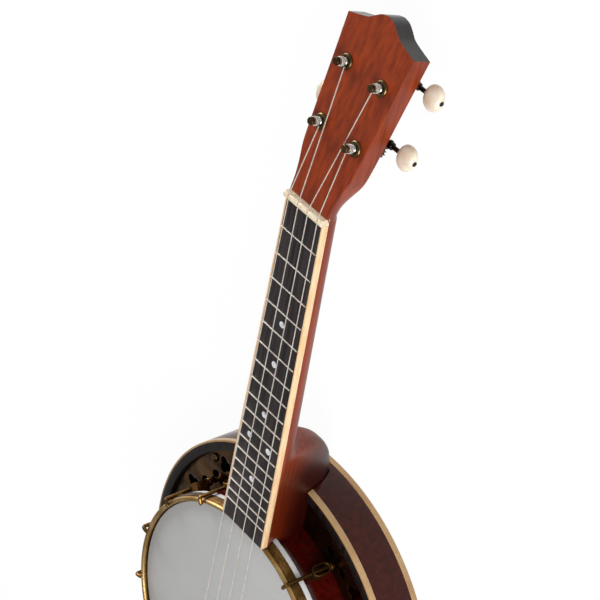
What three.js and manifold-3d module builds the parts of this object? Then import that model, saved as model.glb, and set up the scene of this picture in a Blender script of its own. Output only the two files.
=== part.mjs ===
// Banjo ukulele with a resonator, geared tuners and thirteen bracket hooks.
// Millimetres. The origin is on the pot's axis at the flat back of the resonator.
// +Y points to the headstock, +X to the treble side and +Z out of the drum head.

import * as THREE from 'three';
import { mergeVertices } from 'three/addons/utils/BufferGeometryUtils.js';
import Module from 'manifold-3d';

const wasm = await Module();
wasm.setup();

// Fits
const clearance = 0.3;
const glueLine = 0.1;
const overrun = 4;

// Face counts
const ringFaces = 52;
const barFaces = 8;
const postFaces = 10;
const wireFaces = 6;
const nylonFaces = 5;

// Strings
const scaleLength = 380;
const fretCount = 18;
const stringRadius = 0.35;
const nutStringSpacing = 9.4;
const bridgeStringSpacing = 11.75;
const nutAction = 1.3;
const bridgeAction = 5;
const stringPlaces = [-1.5, -0.5, 0.5, 1.5];

// Resonator
const resonatorRadius = 130.85;
const resonatorHeight = 36.8;
const resonatorWall = 8;
const resonatorBack = 5;
const backRounding = 3;
const bindingWidth = 1.5;
const topBindingHeight = 4.7;
const backBindingHeight = 4.9;
const backBindingLift = 0.4;

// Pot
const flangeWidth = 25.95;
const potRadius = resonatorRadius - resonatorWall - clearance - flangeWidth - clearance;
const potWall = 8.5;
const potHeight = 59.8;
const potLift = 9.3;
const headThickness = 0.6;
const headSurface = potLift + potHeight + headThickness;
const fleshHoopHeight = 4.2;
const fleshHoopWidth = 3.3;
const fleshHoopDrop = 10.4;
const headSkirt = 0.5;
const hoopStandoff = 1.4;
const hoopThickness = 3.9;
const hoopRise = 3.5;
const hoopGroove = 0.5;
const hoopInner = potRadius + hoopStandoff;
const hoopOuter = hoopInner + hoopThickness;
const fleshHoopRadius = hoopInner + fleshHoopWidth;
const hoopTop = headSurface + hoopRise;
const hoopBottom = headSurface - fleshHoopDrop + fleshHoopHeight + clearance;

// Bracket hooks and their shoes
const hookCount = 13;
const hookNeckAngle = THREE.MathUtils.degToRad(28);
const hookWire = 1.4;
const hookNutRadius = 3.2;
const hookNutHeight = 3.6;
const hookBend = 1.6;
const shoeWidth = 8;
const shoeHeight = 15;
const shoeReach = 4.2;
const hookAxis = hoopOuter + clearance + hookWire;

// Flange
const flangeThickness = 1.5;
const flangeDrop = 3;
const cloverLobeShare = 0.131;
const cloverSpreadShare = 0.127;
const slotLengthShare = 0.27;
const slotWidthShare = 0.154;
const flangeTop = resonatorHeight - flangeDrop;
const flangeOuter = resonatorRadius - resonatorWall - clearance;
const cloverLobe = cloverLobeShare * flangeWidth;
const cloverSpread = cloverSpreadShare * flangeWidth;
const flangeSlotLength = slotLengthShare * flangeWidth;
const flangeSlotWidth = slotWidthShare * flangeWidth;

// Resonator screws
const screwCount = 4;
const screwHeadShare = 0.131;
const screwHeadRadius = screwHeadShare * flangeWidth;
const screwHeadHeight = 3;
const screwRadius = 1.6;
const screwLength = 8;
const lugShare = 0.347;
const lugSize = lugShare * flangeWidth;

// Fretboard
const boardAboveHead = 7.5;
const boardThickness = 4.8;
const boardNutHalfWidth = 16.67;
const boardHeelHalfWidth = 20.3;
const boardBinding = 1.5;
const boardEndGap = 0.6;
const fretWidth = 2;
const fretHeight = 1;
const boardEnd = hoopOuter + boardEndGap;
const boardTop = headSurface + boardAboveHead;
const neckTop = boardTop - boardThickness;

// Lengthwise places
const bridgeY = -17;
const nutY = bridgeY + scaleLength;

// Nut
const nutLength = 5;
const nutAboveBoard = 2.6;
const slotWidth = 1.3;

// Neck and heel
const neckDepthAtNut = 13.4;
const neckDepthAtHeel = 16;
const heelBottom = 10.7;
const heelRun = 54;
const heelFoot = 29.7;
const heelBack = potRadius + heelFoot;
const heelFront = heelBack + heelRun;
const neckFaces = 13;
const neckFullness = 2.3;

// Headstock
const headTilt = THREE.MathUtils.degToRad(16);
const headThick = 14;
const headHalfWidth = 30.3;
const headCorner = 114.5;
const headPeak = 127;
const faceDrop = 2;

// Tuners
const postX = 16.2;
const postLowY = 47.9;
const postHighY = 88.4;
const postRadius = 2.6;
const postWaist = 2;
const postAboveFace = 9.6;
const waistBottom = 2.6;
const waistTop = 7.2;
const grommetRadius = 5.2;
const grommetHeight = 1.6;
const sleeveRadius = 4;
const sleeveDepth = 7;
const gearTeeth = 14;
const wormPitch = 2.2;
const wormDistance = 7;
const wormCore = 1.5;
const wormTip = 2.6;
const gearWidth = 3.2;
const gearDepth = 20.5;
const gearRoot = wormDistance - wormTip - clearance;
const gearTip = wormDistance - wormCore - clearance;
const gearPitchRadius = gearTeeth * wormPitch / (2 * Math.PI);
const wormPitchRadius = wormDistance - gearPitchRadius;
const wormTurns = 3;
const plateThickness = 1.2;
const plateBelow = 6;
const plateAbove = 10;
const earInner = 5.7;
const earReach = 3.4;
const shaftOverhang = 1.6;
const buttonCentre = 22.3;
const buttonHalfLength = 6.9;
const buttonHalfWidth = 8.5;
const buttonHalfThickness = 4;
const shaftProud = 0.5;

// String windings
const windingTurns = 2.5;
const windingRise = 1.25;
const windingSteps = 10;

// Bridge and tailpiece
const bridgeHalfWidth = 25;
const bridgeThickness = 3.2;
const bridgeAboveString = 0.8;
const bridgeFoot = 7;
const bridgeArch = 6.5;
const tailHalfWidth = 15;
const tailThickness = 1.3;
const tailReach = 22;
const tailSkirt = 7;
const tailLip = 3;

// Coordinator rod
const rodRadius = 3;
const rodHeight = 24;
const rodBolt = 2.4;
const rodBoltReach = 7;
const rodNutRadius = 5.5;
const rodNutHeight = 4;

// Colours
const finishes = {
  brass: [0x8a6a35, 0.35, 0.9],
  darkSteel: [0x2c2622, 0.4, 0.8],
  silver: [0x8d8a86, 0.3, 0.9],
  redWood: [0x4a0f08, 0.25, 0],
  darkRedWood: [0x35110d, 0.2, 0],
  neckWood: [0x7a2a12, 0.25, 0],
  rosewood: [0x332b2a, 0.6, 0],
  cream: [0xe8cfa0, 0.4, 0],
  bone: [0xe9e0cc, 0.4, 0],
  ivory: [0xeee0cc, 0.35, 0],
  film: [0xd4d4d8, 0.5, 0],
  nylon: [0xe6ddd2, 0.3, 0],
  maple: [0xc79a5e, 0.5, 0],
};

function material(finish) {
  const [color, roughness, metalness] = finishes[finish];
  return new THREE.MeshStandardMaterial({ color, roughness, metalness });
}

// Geometry to solid and back
function solid(geometry) {
  const bare = geometry.clone();
  bare.deleteAttribute('normal');
  bare.deleteAttribute('uv');
  const merged = mergeVertices(bare);
  const vertProperties = new Float32Array(merged.attributes.position.array);
  const triVerts = new Uint32Array(merged.index.array);
  if (signedVolume(vertProperties, triVerts) < 0) {
    for (let i = 0; i < triVerts.length; i += 3) {
      [triVerts[i], triVerts[i + 1]] = [triVerts[i + 1], triVerts[i]];
    }
  }
  return new wasm.Manifold(new wasm.Mesh({ numProp: 3, vertProperties, triVerts }));
}

function signedVolume(positions, triangles) {
  const corners = [new THREE.Vector3(), new THREE.Vector3(), new THREE.Vector3()];
  let sum = 0;
  for (let i = 0; i < triangles.length; i += 3) {
    corners.forEach((corner, k) => corner.fromArray(positions, 3 * triangles[i + k]));
    sum += corners[0].dot(corners[1].cross(corners[2]));
  }
  return sum;
}

function surface(body) {
  const mesh = body.getMesh();
  const geometry = new THREE.BufferGeometry();
  geometry.setAttribute('position', new THREE.BufferAttribute(mesh.vertProperties, 3));
  geometry.setIndex(new THREE.BufferAttribute(mesh.triVerts, 1));
  geometry.computeVertexNormals();
  return geometry;
}

function join(first, ...others) {
  return surface(others.reduce((body, other) => body.add(solid(other)), solid(first)));
}

function cut(first, ...others) {
  return surface(others.reduce((body, other) => body.subtract(solid(other)), solid(first)));
}

// Profiles are [radius, height] pairs of a closed outline round the Z axis
function revolve(profile, faces = ringFaces) {
  const points = profile.map(([radius, height]) => new THREE.Vector2(radius, height));
  points.push(points[0].clone());
  return surface(solid(new THREE.LatheGeometry(points, faces).rotateX(Math.PI / 2)));
}

// A profile that starts and ends on the axis
function turn(profile, faces) {
  const points = profile.map(([radius, height]) => new THREE.Vector2(radius, height));
  return surface(solid(new THREE.LatheGeometry(points, faces).rotateX(Math.PI / 2)));
}

function bar(radius, bottom, top, faces = barFaces) {
  return turn([[0, bottom], [radius, bottom], [radius, top], [0, top]], faces);
}

// An outline in the XY plane, raised from one height to another
function slab(shape, bottom, top) {
  const options = { depth: top - bottom, bevelEnabled: false };
  return new THREE.ExtrudeGeometry(shape, options).translate(0, 0, bottom);
}

// An outline in the XZ plane, drawn out along Y
function plank(shape, near, far) {
  return slab(shape, -far, -near).rotateX(Math.PI / 2);
}

function outline(points) {
  return new THREE.Shape(points.map(([x, y]) => new THREE.Vector2(x, y)));
}

function block(xLow, xHigh, yLow, yHigh, zLow, zHigh) {
  const geometry = new THREE.BoxGeometry(xHigh - xLow, yHigh - yLow, zHigh - zLow);
  return geometry.translate((xLow + xHigh) / 2, (yLow + yHigh) / 2, (zLow + zHigh) / 2);
}

function roundSection(radius, faces) {
  const points = Array.from({ length: faces }, (_, i) => {
    const angle = 2 * Math.PI * i / faces;
    return [radius * Math.cos(angle), radius * Math.sin(angle)];
  });
  return outline(points);
}

// A path whose sections stand at chosen stations
class StationPath extends THREE.Curve {
  constructor(stations) {
    super();
    this.stations = stations;
  }

  getPoint(t) {
    return this.stations[Math.round(t * (this.stations.length - 1))].clone();
  }

  getPointAt(t) {
    return this.getPoint(t);
  }

  getTangentAt(t) {
    const here = Math.round(t * (this.stations.length - 1));
    const before = this.stations[Math.max(here - 1, 0)];
    const after = this.stations[Math.min(here + 1, this.stations.length - 1)];
    const from = here > 0 ? this.stations[here].clone().sub(before).normalize() : null;
    const on = after.clone().sub(this.stations[here]).normalize();
    return from ? on.add(from).normalize() : on;
  }
}

function wire(stations, radius, faces) {
  const path = new StationPath(stations);
  const options = { extrudePath: path, steps: stations.length - 1, bevelEnabled: false };
  return new THREE.ExtrudeGeometry(roundSection(radius, faces), options);
}

// A closed skin over rings with equal numbers of points
function loft(rings) {
  const count = rings[0].length;
  const positions = rings.flat().flatMap((point) => [point.x, point.y, point.z]);
  const index = [];
  for (let ring = 0; ring + 1 < rings.length; ring += 1) {
    for (let i = 0; i < count; i += 1) {
      const a = ring * count + i;
      const b = ring * count + (i + 1) % count;
      index.push(a, b, a + count, b, b + count, a + count);
    }
  }
  const last = (rings.length - 1) * count;
  for (let i = 1; i + 1 < count; i += 1) {
    index.push(0, i + 1, i);
    index.push(last, last + i, last + i + 1);
  }
  const geometry = new THREE.BufferGeometry();
  geometry.setAttribute('position', new THREE.Float32BufferAttribute(positions, 3));
  geometry.setIndex(index);
  return surface(solid(geometry));
}

// Scene graph
const instrument = new THREE.Group();
const headstock = new THREE.Group();
headstock.position.set(0, nutY + nutLength, boardTop - faceDrop);
headstock.rotation.x = -headTilt;
instrument.add(headstock);
headstock.updateMatrix();

function place(name, geometry, finish, parent = instrument) {
  const mesh = new THREE.Mesh(geometry, material(finish));
  mesh.name = name;
  parent.add(mesh);
  return mesh;
}

function numbered(name, index) {
  return `${name}_${String(index + 1).padStart(2, '0')}`;
}

// Board and neck run out in width from the nut to the last fret
function fretPlace(number) {
  return nutY - scaleLength * (1 - 2 ** (-number / 12));
}

const lastFretY = fretPlace(fretCount);

function boardHalfWidth(y) {
  const share = (nutY - y) / (nutY - lastFretY);
  return boardNutHalfWidth + (boardHeelHalfWidth - boardNutHalfWidth) * share;
}

function neckHalfWidth(y) {
  return boardHalfWidth(y) + boardBinding;
}

// Half of the heel's section, as shares of its half width and of its depth
const heelAcrossShares = [1, 0.93, 0.82, 0.74, 0.62, 0.44, 0.15];
const heelDownShares = [0, 0.05, 0.14, 0.33, 0.58, 0.83, 1];

// A section through the neck, flat on top and round below, that turns into the heel's
function neckSection(y, halfWidth, depth, heelShare, grow = 0) {
  return Array.from({ length: neckFaces + 1 }, (_, i) => {
    const angle = Math.PI * i / neckFaces;
    const side = Math.sign(Math.cos(angle));
    const step = Math.min(i, neckFaces - i);
    const round = Math.abs(Math.cos(angle)) ** (2 / neckFullness);
    const across = side * THREE.MathUtils.lerp(round, heelAcrossShares[step], heelShare);
    const fall = Math.abs(Math.sin(angle)) ** (2 / neckFullness);
    const down = THREE.MathUtils.lerp(fall, heelDownShares[step], heelShare);
    return new THREE.Vector3(across * (halfWidth + grow), y, neckTop - down * (depth + grow));
  });
}

// Shares of the heel's run and of its drop, from the neck's back to the heel's foot
const heelRunShares = [0, 0.06, 0.1, 0.14, 0.23, 0.39, 0.58, 0.8, 1];
const heelDropShares = [0, 0.1, 0.25, 0.42, 0.62, 0.8, 0.92, 0.98, 1];
const neckRunShares = [0, 0.12, 0.4, 0.72, 1];

function buildNeck() {
  const heelDepth = neckTop - heelBottom;
  const stations = [[potRadius - potWall, heelDepth, 1]];
  heelRunShares.map((run, i) => [run, heelDropShares[i]]).reverse().forEach(([run, drop]) => {
    const y = heelFront - run * (heelFront - heelBack);
    stations.push([y, neckDepthAtHeel + drop * (heelDepth - neckDepthAtHeel), drop]);
  });
  const neckEnd = nutY + nutLength + faceDrop * 2;
  neckRunShares.slice(1).forEach((share) => {
    const y = heelFront + share * (neckEnd - heelFront);
    stations.push([y, neckDepthAtHeel + share * (neckDepthAtNut - neckDepthAtHeel), 0]);
  });
  const rings = stations.map(([y, depth, heelShare]) => (
    neckSection(y, neckHalfWidth(Math.min(y, nutY)), depth, heelShare)));
  const face = slab(headstockOutline(), -headThick, 0).applyMatrix4(headstock.matrix);
  const hoopSeatBottom = headSurface - fleshHoopDrop - clearance;
  const seat = turn([
    [0, -overrun], [potRadius + clearance, -overrun], [potRadius + clearance, boardTop], [0, boardTop],
  ], ringFaces);
  const hoopSeat = block(
    -headHalfWidth, headHalfWidth, 0, boardEnd, hoopSeatBottom, boardTop);
  const nutSeat = block(
    -headHalfWidth, headHalfWidth,
    nutY - clearance, nutY + nutLength + clearance,
    neckTop, boardTop + nutAboveBoard);
  const boltHole = bar(rodBolt + clearance, 0, potRadius + rodBoltReach + clearance);
  boltHole.rotateX(-Math.PI / 2).translate(0, 0, rodHeight);
  const holes = postPlaces().map(([x, y]) => {
    const hole = bar(sleeveRadius + clearance, -headThick - overrun, overrun, postFaces);
    return hole.translate(x, y, 0).applyMatrix4(headstock.matrix);
  });
  return cut(join(loft(rings), face), seat, hoopSeat, nutSeat, boltHole, ...holes);
}

// Half of the headstock's edge, as shares of its half width and of its corner's height
const edgeWidthShares = [0.6, 0.61, 0.66, 0.77, 0.825, 0.925, 1];
const edgeHeightShares = [0, 0.06, 0.15, 0.27, 0.42, 0.76, 1];
const scoopWidthShares = [0.84, 0.6, 0.45, 0.3, 0.15];
const scoopRiseShares = [0.11, 0.28, 0.42, 0.7, 0.93];

function headstockOutline() {
  const right = edgeWidthShares.map((share, i) => (
    [share * headHalfWidth, edgeHeightShares[i] * headCorner]));
  scoopWidthShares.forEach((share, i) => {
    right.push([share * headHalfWidth, headCorner + scoopRiseShares[i] * (headPeak - headCorner)]);
  });
  const left = right.map(([x, y]) => [-x, y]).reverse();
  return outline([...right, [0, headPeak], ...left]);
}

function postPlaces() {
  return [[postX, postHighY], [postX, postLowY], [-postX, postHighY], [-postX, postLowY]];
}

place('neck', buildNeck(), 'neckWood');

// Fretboard with its frets, bindings and nut
function buildBoard() {
  const shape = outline([
    [boardHalfWidth(boardEnd), boardEnd],
    [boardHalfWidth(nutY), nutY - glueLine],
    [-boardHalfWidth(nutY), nutY - glueLine],
    [-boardHalfWidth(boardEnd), boardEnd],
  ]);
  const numbers = Array.from({ length: fretCount }, (_, i) => i + 1);
  const frets = numbers.filter((number) => fretPlace(number) - fretWidth > boardEnd).map(buildFret);
  return join(slab(shape, neckTop, boardTop), ...frets);
}

function buildFret(number) {
  const y = fretPlace(number);
  const half = fretWidth / 2;
  const crown = outline([
    [-half, -half], [half, -half], [half, fretHeight / 2], [half / 2, fretHeight],
    [-half / 2, fretHeight], [-half, fretHeight / 2],
  ]);
  const halfWidth = boardHalfWidth(y) - glueLine;
  const fret = slab(crown, -halfWidth, halfWidth).rotateX(Math.PI / 2).rotateZ(Math.PI / 2);
  return fret.translate(0, y, boardTop);
}

function buildBoardBinding(side) {
  const inner = (y) => boardHalfWidth(y) + glueLine;
  const outer = (y) => neckHalfWidth(y);
  const shape = outline([
    [side * inner(boardEnd), boardEnd],
    [side * outer(boardEnd), boardEnd],
    [side * outer(nutY), nutY - glueLine],
    [side * inner(nutY), nutY - glueLine],
  ]);
  return slab(shape, neckTop, boardTop);
}

place('fretboard', buildBoard(), 'rosewood');
place('fretboard_binding_treble', buildBoardBinding(1), 'cream');
place('fretboard_binding_bass', buildBoardBinding(-1), 'cream');

const nutHeadShares = [1, 0.75, 0.25, 0];

function buildNut() {
  const high = boardTop + nutAboveBoard;
  const half = neckHalfWidth(nutY);
  const slotFloor = boardTop + nutAction - stringRadius - clearance;
  const depth = nutLength - clearance;
  const profile = outline([
    [0, neckTop], [depth, neckTop], [depth, high - depth / 2],
    [depth * nutHeadShares[1], high - depth * nutHeadShares[2] / 2],
    [depth / 2, high],
    [depth * nutHeadShares[2], high - depth * nutHeadShares[2] / 2],
    [0, high - depth / 2],
  ]);
  const body = plank(profile, -half, half).rotateZ(Math.PI / 2);
  body.translate(0, nutY, 0);
  const slots = stringPlaces.map((place) => {
    const x = place * nutStringSpacing;
    return block(x - slotWidth / 2, x + slotWidth / 2,
      nutY - overrun, nutY + nutLength + overrun, slotFloor, high + overrun);
  });
  return cut(body, ...slots);
}

place('nut', buildNut(), 'bone');

// Pot: rim with its shoes, head on its flesh hoop, tension hoop
function hookAngles() {
  const step = (2 * Math.PI - 2 * hookNeckAngle) / (hookCount - 1);
  return Array.from({ length: hookCount }, (_, i) => hookNeckAngle + step * i);
}

const shoeBottom = flangeTop + 2 * clearance + hookNutHeight + clearance;

function buildShoe(angle) {
  const half = shoeWidth / 2;
  const straight = shoeHeight - shoeWidth;
  const shape = new THREE.Shape();
  shape.absarc(0, half + straight, half, 0, Math.PI, false);
  shape.absarc(0, half, half, Math.PI, 2 * Math.PI, false);
  const options = {
    depth: hookAxis + shoeReach - potRadius + potWall / 2, bevelEnabled: false, curveSegments: 4,
  };
  const shoe = new THREE.ExtrudeGeometry(shape, options);
  shoe.rotateX(Math.PI / 2).translate(0, hookAxis + shoeReach, shoeBottom);
  return shoe.rotateZ(-angle);
}

function buildRim() {
  const top = headSurface - headThickness - clearance;
  const wall = revolve([
    [potRadius - potWall, potLift], [potRadius, potLift],
    [potRadius, top], [potRadius - potWall, top],
  ]);
  const holes = hookAngles().map((angle) => {
    const hole = bar(hookWire + clearance, shoeBottom - overrun, shoeBottom + shoeHeight + overrun);
    return hole.translate(0, hookAxis, 0).rotateZ(-angle);
  });
  const boltHole = bar(rodBolt + clearance, -potRadius - overrun, potRadius + overrun);
  boltHole.rotateX(-Math.PI / 2).translate(0, 0, rodHeight);
  return cut(join(wall, ...hookAngles().map(buildShoe)), ...holes, boltHole);
}

function buildHead() {
  const skirtInner = potRadius + clearance;
  const skirtOuter = skirtInner + headSkirt;
  const hoopLow = headSurface - fleshHoopDrop;
  return turn([
    [0, headSurface - headThickness],
    [skirtInner, headSurface - headThickness],
    [skirtInner, hoopLow],
    [fleshHoopRadius, hoopLow],
    [fleshHoopRadius, hoopLow + fleshHoopHeight],
    [skirtOuter, hoopLow + fleshHoopHeight],
    [skirtOuter, headSurface - headThickness],
    [skirtOuter - headSkirt, headSurface],
    [0, headSurface],
  ], ringFaces);
}

function buildHoop() {
  const bandTop = hoopTop - hoopGroove * 2;
  return revolve([
    [hoopInner, hoopBottom], [hoopOuter, hoopBottom],
    [hoopOuter, bandTop], [hoopOuter - hoopGroove, bandTop + hoopGroove],
    [hoopOuter - hoopGroove, hoopTop], [hoopInner, hoopTop],
  ]);
}

place('pot_rim', buildRim(), 'redWood');
place('drum_head', buildHead(), 'film');
place('tension_hoop', buildHoop(), 'brass');

// A hook: claw over the hoop, quarter bend, shank down through its shoe, and its nut
const bendSteps = 3;

function buildHook() {
  const clawHeight = hoopTop + clearance + hookWire;
  const centre = { y: hookAxis - hookBend, z: clawHeight - hookBend };
  const stations = [new THREE.Vector3(0, hoopInner + clearance, clawHeight - hookWire / 2)];
  for (let i = 0; i <= bendSteps; i += 1) {
    const angle = Math.PI / 2 * (1 - i / bendSteps);
    const y = centre.y + hookBend * Math.cos(angle);
    stations.push(new THREE.Vector3(0, y, centre.z + hookBend * Math.sin(angle)));
  }
  stations[0].z = clawHeight;
  const nutBottom = flangeTop + 2 * clearance;
  stations.push(new THREE.Vector3(0, hookAxis, nutBottom));
  const nut = bar(hookNutRadius, nutBottom, nutBottom + hookNutHeight, wireFaces);
  return join(wire(stations, hookWire, wireFaces), nut.translate(0, hookAxis, 0));
}

hookAngles().forEach((angle, i) => {
  const hook = place(numbered('bracket_hook', i), buildHook(), 'brass');
  hook.rotation.z = -angle;
});

// Resonator, its bindings and the flange
function heelOpening(grow) {
  const depth = neckTop - heelBottom;
  const section = neckSection(0, neckHalfWidth(potRadius), depth, 1, grow);
  const shape = outline(section.map((point) => [point.x, point.z]));
  return plank(shape, potRadius - overrun, resonatorRadius + overrun);
}

function screwAngles() {
  return Array.from({ length: screwCount }, (_, i) => (i + 1 / 2) * 2 * Math.PI / screwCount);
}

const lugTop = flangeTop - flangeThickness - glueLine;
const screwCircle = flangeOuter - lugSize / 2;

function buildShell() {
  const inner = resonatorRadius - resonatorWall;
  const rabbet = resonatorRadius - bindingWidth - glueLine;
  const wall = turn([
    [0, 0],
    [rabbet - backRounding / 2, 0],
    [rabbet, backBindingLift],
    [rabbet, backBindingHeight + glueLine],
    [resonatorRadius, backBindingHeight + glueLine],
    [resonatorRadius, resonatorHeight - topBindingHeight - glueLine],
    [rabbet, resonatorHeight - topBindingHeight - glueLine],
    [rabbet, resonatorHeight],
    [inner, resonatorHeight],
    [inner, resonatorBack + backRounding],
    [inner - backRounding, resonatorBack],
    [0, resonatorBack],
  ], ringFaces);
  const lugs = screwAngles().map((angle) => {
    const lug = block(-lugSize / 2, lugSize / 2, inner - lugSize, inner + resonatorWall / 2,
      lugTop - lugSize, lugTop);
    return lug.rotateZ(-angle);
  });
  const holes = screwAngles().map((angle) => {
    const hole = bar(screwRadius + clearance, lugTop - screwLength, lugTop + overrun);
    return hole.translate(0, screwCircle, 0).rotateZ(-angle);
  });
  return cut(join(wall, ...lugs), ...holes, heelOpening(clearance * 2));
}

function buildRing(bottom, top) {
  const inner = resonatorRadius - bindingWidth;
  return revolve([
    [inner, bottom], [resonatorRadius, bottom], [resonatorRadius, top], [inner, top],
  ]);
}

const lobeTurnShares = [-1, -0.4, 0.4, 1];

function cloverPath(angle, radius) {
  const lobes = [0, 1, 2].map((i) => 2 * Math.PI * i / 3);
  const points = lobes.flatMap((lobe) => lobeTurnShares.map((turnShare) => {
    const spin = lobe + turnShare * Math.PI / 2;
    const x = cloverSpread * Math.sin(lobe) + cloverLobe * Math.sin(spin);
    const y = cloverSpread * Math.cos(lobe) + cloverLobe * Math.cos(spin);
    return new THREE.Vector2(x, y + radius).rotateAround(new THREE.Vector2(), -angle);
  }));
  return new THREE.Path(points);
}

const slotCornerShares = [[-1, 0], [-0.6, -1], [0.6, -1], [1, 0], [0.6, 1], [-0.6, 1]];

function slotPath(angle, radius) {
  const points = slotCornerShares.map(([along, across]) => {
    const x = along * flangeSlotLength / 2;
    const y = radius + across * flangeSlotWidth / 2;
    return new THREE.Vector2(x, y).rotateAround(new THREE.Vector2(), -angle);
  });
  return new THREE.Path(points);
}

function buildFlange() {
  const inner = potRadius + clearance;
  const shape = roundSection(flangeOuter, ringFaces);
  shape.holes.push(new THREE.Path(roundSection(inner, ringFaces).getPoints()));
  const angles = hookAngles();
  const bay = angles[1] - angles[0];
  const middle = (inner + flangeOuter) / 2;
  angles.forEach((angle, i) => {
    if (i + 1 < hookCount) {
      shape.holes.push(cloverPath(angle + bay / 2, middle + cloverSpread / 2));
    }
    shape.holes.push(slotPath(angle, flangeOuter - flangeSlotWidth));
  });
  const holes = screwAngles().map((angle) => {
    const hole = bar(screwRadius + clearance, lugTop, flangeTop + overrun);
    return hole.translate(0, screwCircle, 0).rotateZ(-angle);
  });
  const plate = slab(shape, flangeTop - flangeThickness, flangeTop);
  return cut(plate, ...holes, heelOpening(clearance * 2));
}

function buildScrew() {
  const tip = lugTop - screwLength + clearance;
  const seat = flangeTop + glueLine;
  return turn([
    [0, tip], [screwRadius, tip], [screwRadius, seat], [screwHeadRadius, seat],
    [screwHeadRadius, seat + screwHeadHeight / 2],
    [screwHeadRadius / 2, seat + screwHeadHeight], [0, seat + screwHeadHeight],
  ], barFaces);
}

place('resonator_shell', buildShell(), 'darkRedWood');
const topBinding = buildRing(resonatorHeight - topBindingHeight, resonatorHeight);
place('resonator_top_binding', cut(topBinding, heelOpening(clearance * 2)), 'cream');
place('resonator_back_binding', buildRing(backBindingLift, backBindingHeight), 'cream');
place('flange', buildFlange(), 'brass');
screwAngles().forEach((angle, i) => {
  const screw = place(numbered('resonator_screw', i), buildScrew(), 'brass');
  screw.position.set(screwCircle * Math.sin(angle), screwCircle * Math.cos(angle), 0);
});

// Coordinator rod between neck and tail, inside the pot
function buildRod() {
  const inside = Math.sqrt((potRadius - potWall) ** 2 - rodNutRadius ** 2) - 2 * clearance;
  const heelEnd = potRadius + rodBoltReach;
  const tailEnd = -potRadius - rodBoltReach / 2;
  const rod = turn([
    [0, tailEnd], [rodBolt, tailEnd], [rodBolt, -inside], [rodNutRadius, -inside],
    [rodNutRadius, rodNutHeight - inside], [rodRadius, rodNutHeight - inside],
    [rodRadius, inside - rodNutHeight], [rodNutRadius, inside - rodNutHeight],
    [rodNutRadius, inside], [rodBolt, inside], [rodBolt, heelEnd], [0, heelEnd],
  ], barFaces);
  return rod.rotateX(-Math.PI / 2).translate(0, 0, rodHeight);
}

place('coordinator_rod', buildRod(), 'silver');

// Bridge on the head, tailpiece on the hoop
const stringHeight = boardTop + bridgeAction;

function buildBridge() {
  const low = headSurface + glueLine;
  const high = stringHeight + bridgeAboveString;
  const notchFloor = stringHeight - stringRadius - clearance;
  const shoulder = bridgeHalfWidth - bridgeFoot / 2;
  const arches = [-1, 1].map((side) => {
    const start = side * bridgeFoot / 2;
    const end = side * (bridgeHalfWidth - bridgeFoot);
    const left = Math.min(start, end);
    const right = Math.max(start, end);
    const rise = bridgeArch - bridgeFoot / 4;
    return [[left, low], [left + bridgeFoot / 4, low + rise], [(left + right) / 2, low + bridgeArch],
      [right - bridgeFoot / 4, low + rise], [right, low]];
  });
  const shape = outline([
    [-bridgeHalfWidth, low], ...arches[0], ...arches[1], [bridgeHalfWidth, low],
    [bridgeHalfWidth, low + bridgeFoot / 2], [shoulder, high], [-shoulder, high],
    [-bridgeHalfWidth, low + bridgeFoot / 2],
  ]);
  const half = bridgeThickness / 2;
  const notches = stringPlaces.map((place) => {
    const x = place * bridgeStringSpacing;
    return block(x - slotWidth / 2, x + slotWidth / 2, bridgeY - half - overrun,
      bridgeY + half + overrun, notchFloor, high + overrun);
  });
  return cut(plank(shape, bridgeY - half, bridgeY + half), ...notches);
}

const tailSeat = hoopTop + glueLine;
const tailOuter = hookAxis + hookWire + clearance;
const tailInner = hoopOuter - tailReach;
const tailStringHeight = tailSeat + tailThickness + stringRadius + clearance;

function buildTailpiece() {
  const top = tailSeat + tailThickness;
  const band = hoopOuter + clearance;
  const profile = outline([
    [tailInner, tailSeat], [band, tailSeat], [band, tailSeat - tailSkirt],
    [band + tailThickness, tailSeat - tailSkirt], [band + tailThickness, top],
    [tailInner + tailThickness, top],
    [tailInner + tailThickness, top + tailLip], [tailInner, top + tailLip],
  ]);
  const body = plank(profile, -tailHalfWidth, tailHalfWidth).rotateZ(-Math.PI / 2);
  const clawSlot = block(-hookWire - clearance, hookWire + clearance,
    -tailOuter, -hoopInner + 2 * clearance, tailSeat - tailSkirt - overrun, top + overrun);
  const notches = stringPlaces.map((place) => {
    const x = place * (2 * tailHalfWidth - slotWidth * 4) / 4;
    return block(x - slotWidth / 2, x + slotWidth / 2, -tailInner - overrun,
      -tailInner + overrun, top, top + tailLip + overrun);
  });
  return cut(body, clawSlot, ...notches);
}

place('bridge', buildBridge(), 'maple');
place('tailpiece', buildTailpiece(), 'brass');

// Geared tuners
// The worm's thread and the gear's teeth lean the same way, so hand is 1 or -1
const toothTipShare = 0.24;
const toothRootShare = 0.44;
const threadTipShare = 0.2;
const threadRootShare = 0.42;
const threadSteps = 10;

function buildPost(hand) {
  const low = -gearDepth - gearWidth / 2;
  const post = turn([
    [0, low - shaftOverhang], [postWaist, low - shaftOverhang], [postWaist, low],
    [postRadius, low], [postRadius, waistBottom - postWaist / 4], [postWaist, waistBottom],
    [postWaist, waistTop], [postRadius, waistTop + postWaist / 4],
    [postRadius, postAboveFace - postWaist / 4], [postWaist, postAboveFace], [0, postAboveFace],
  ], postFaces);
  return join(post, buildGear(hand));
}

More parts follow.
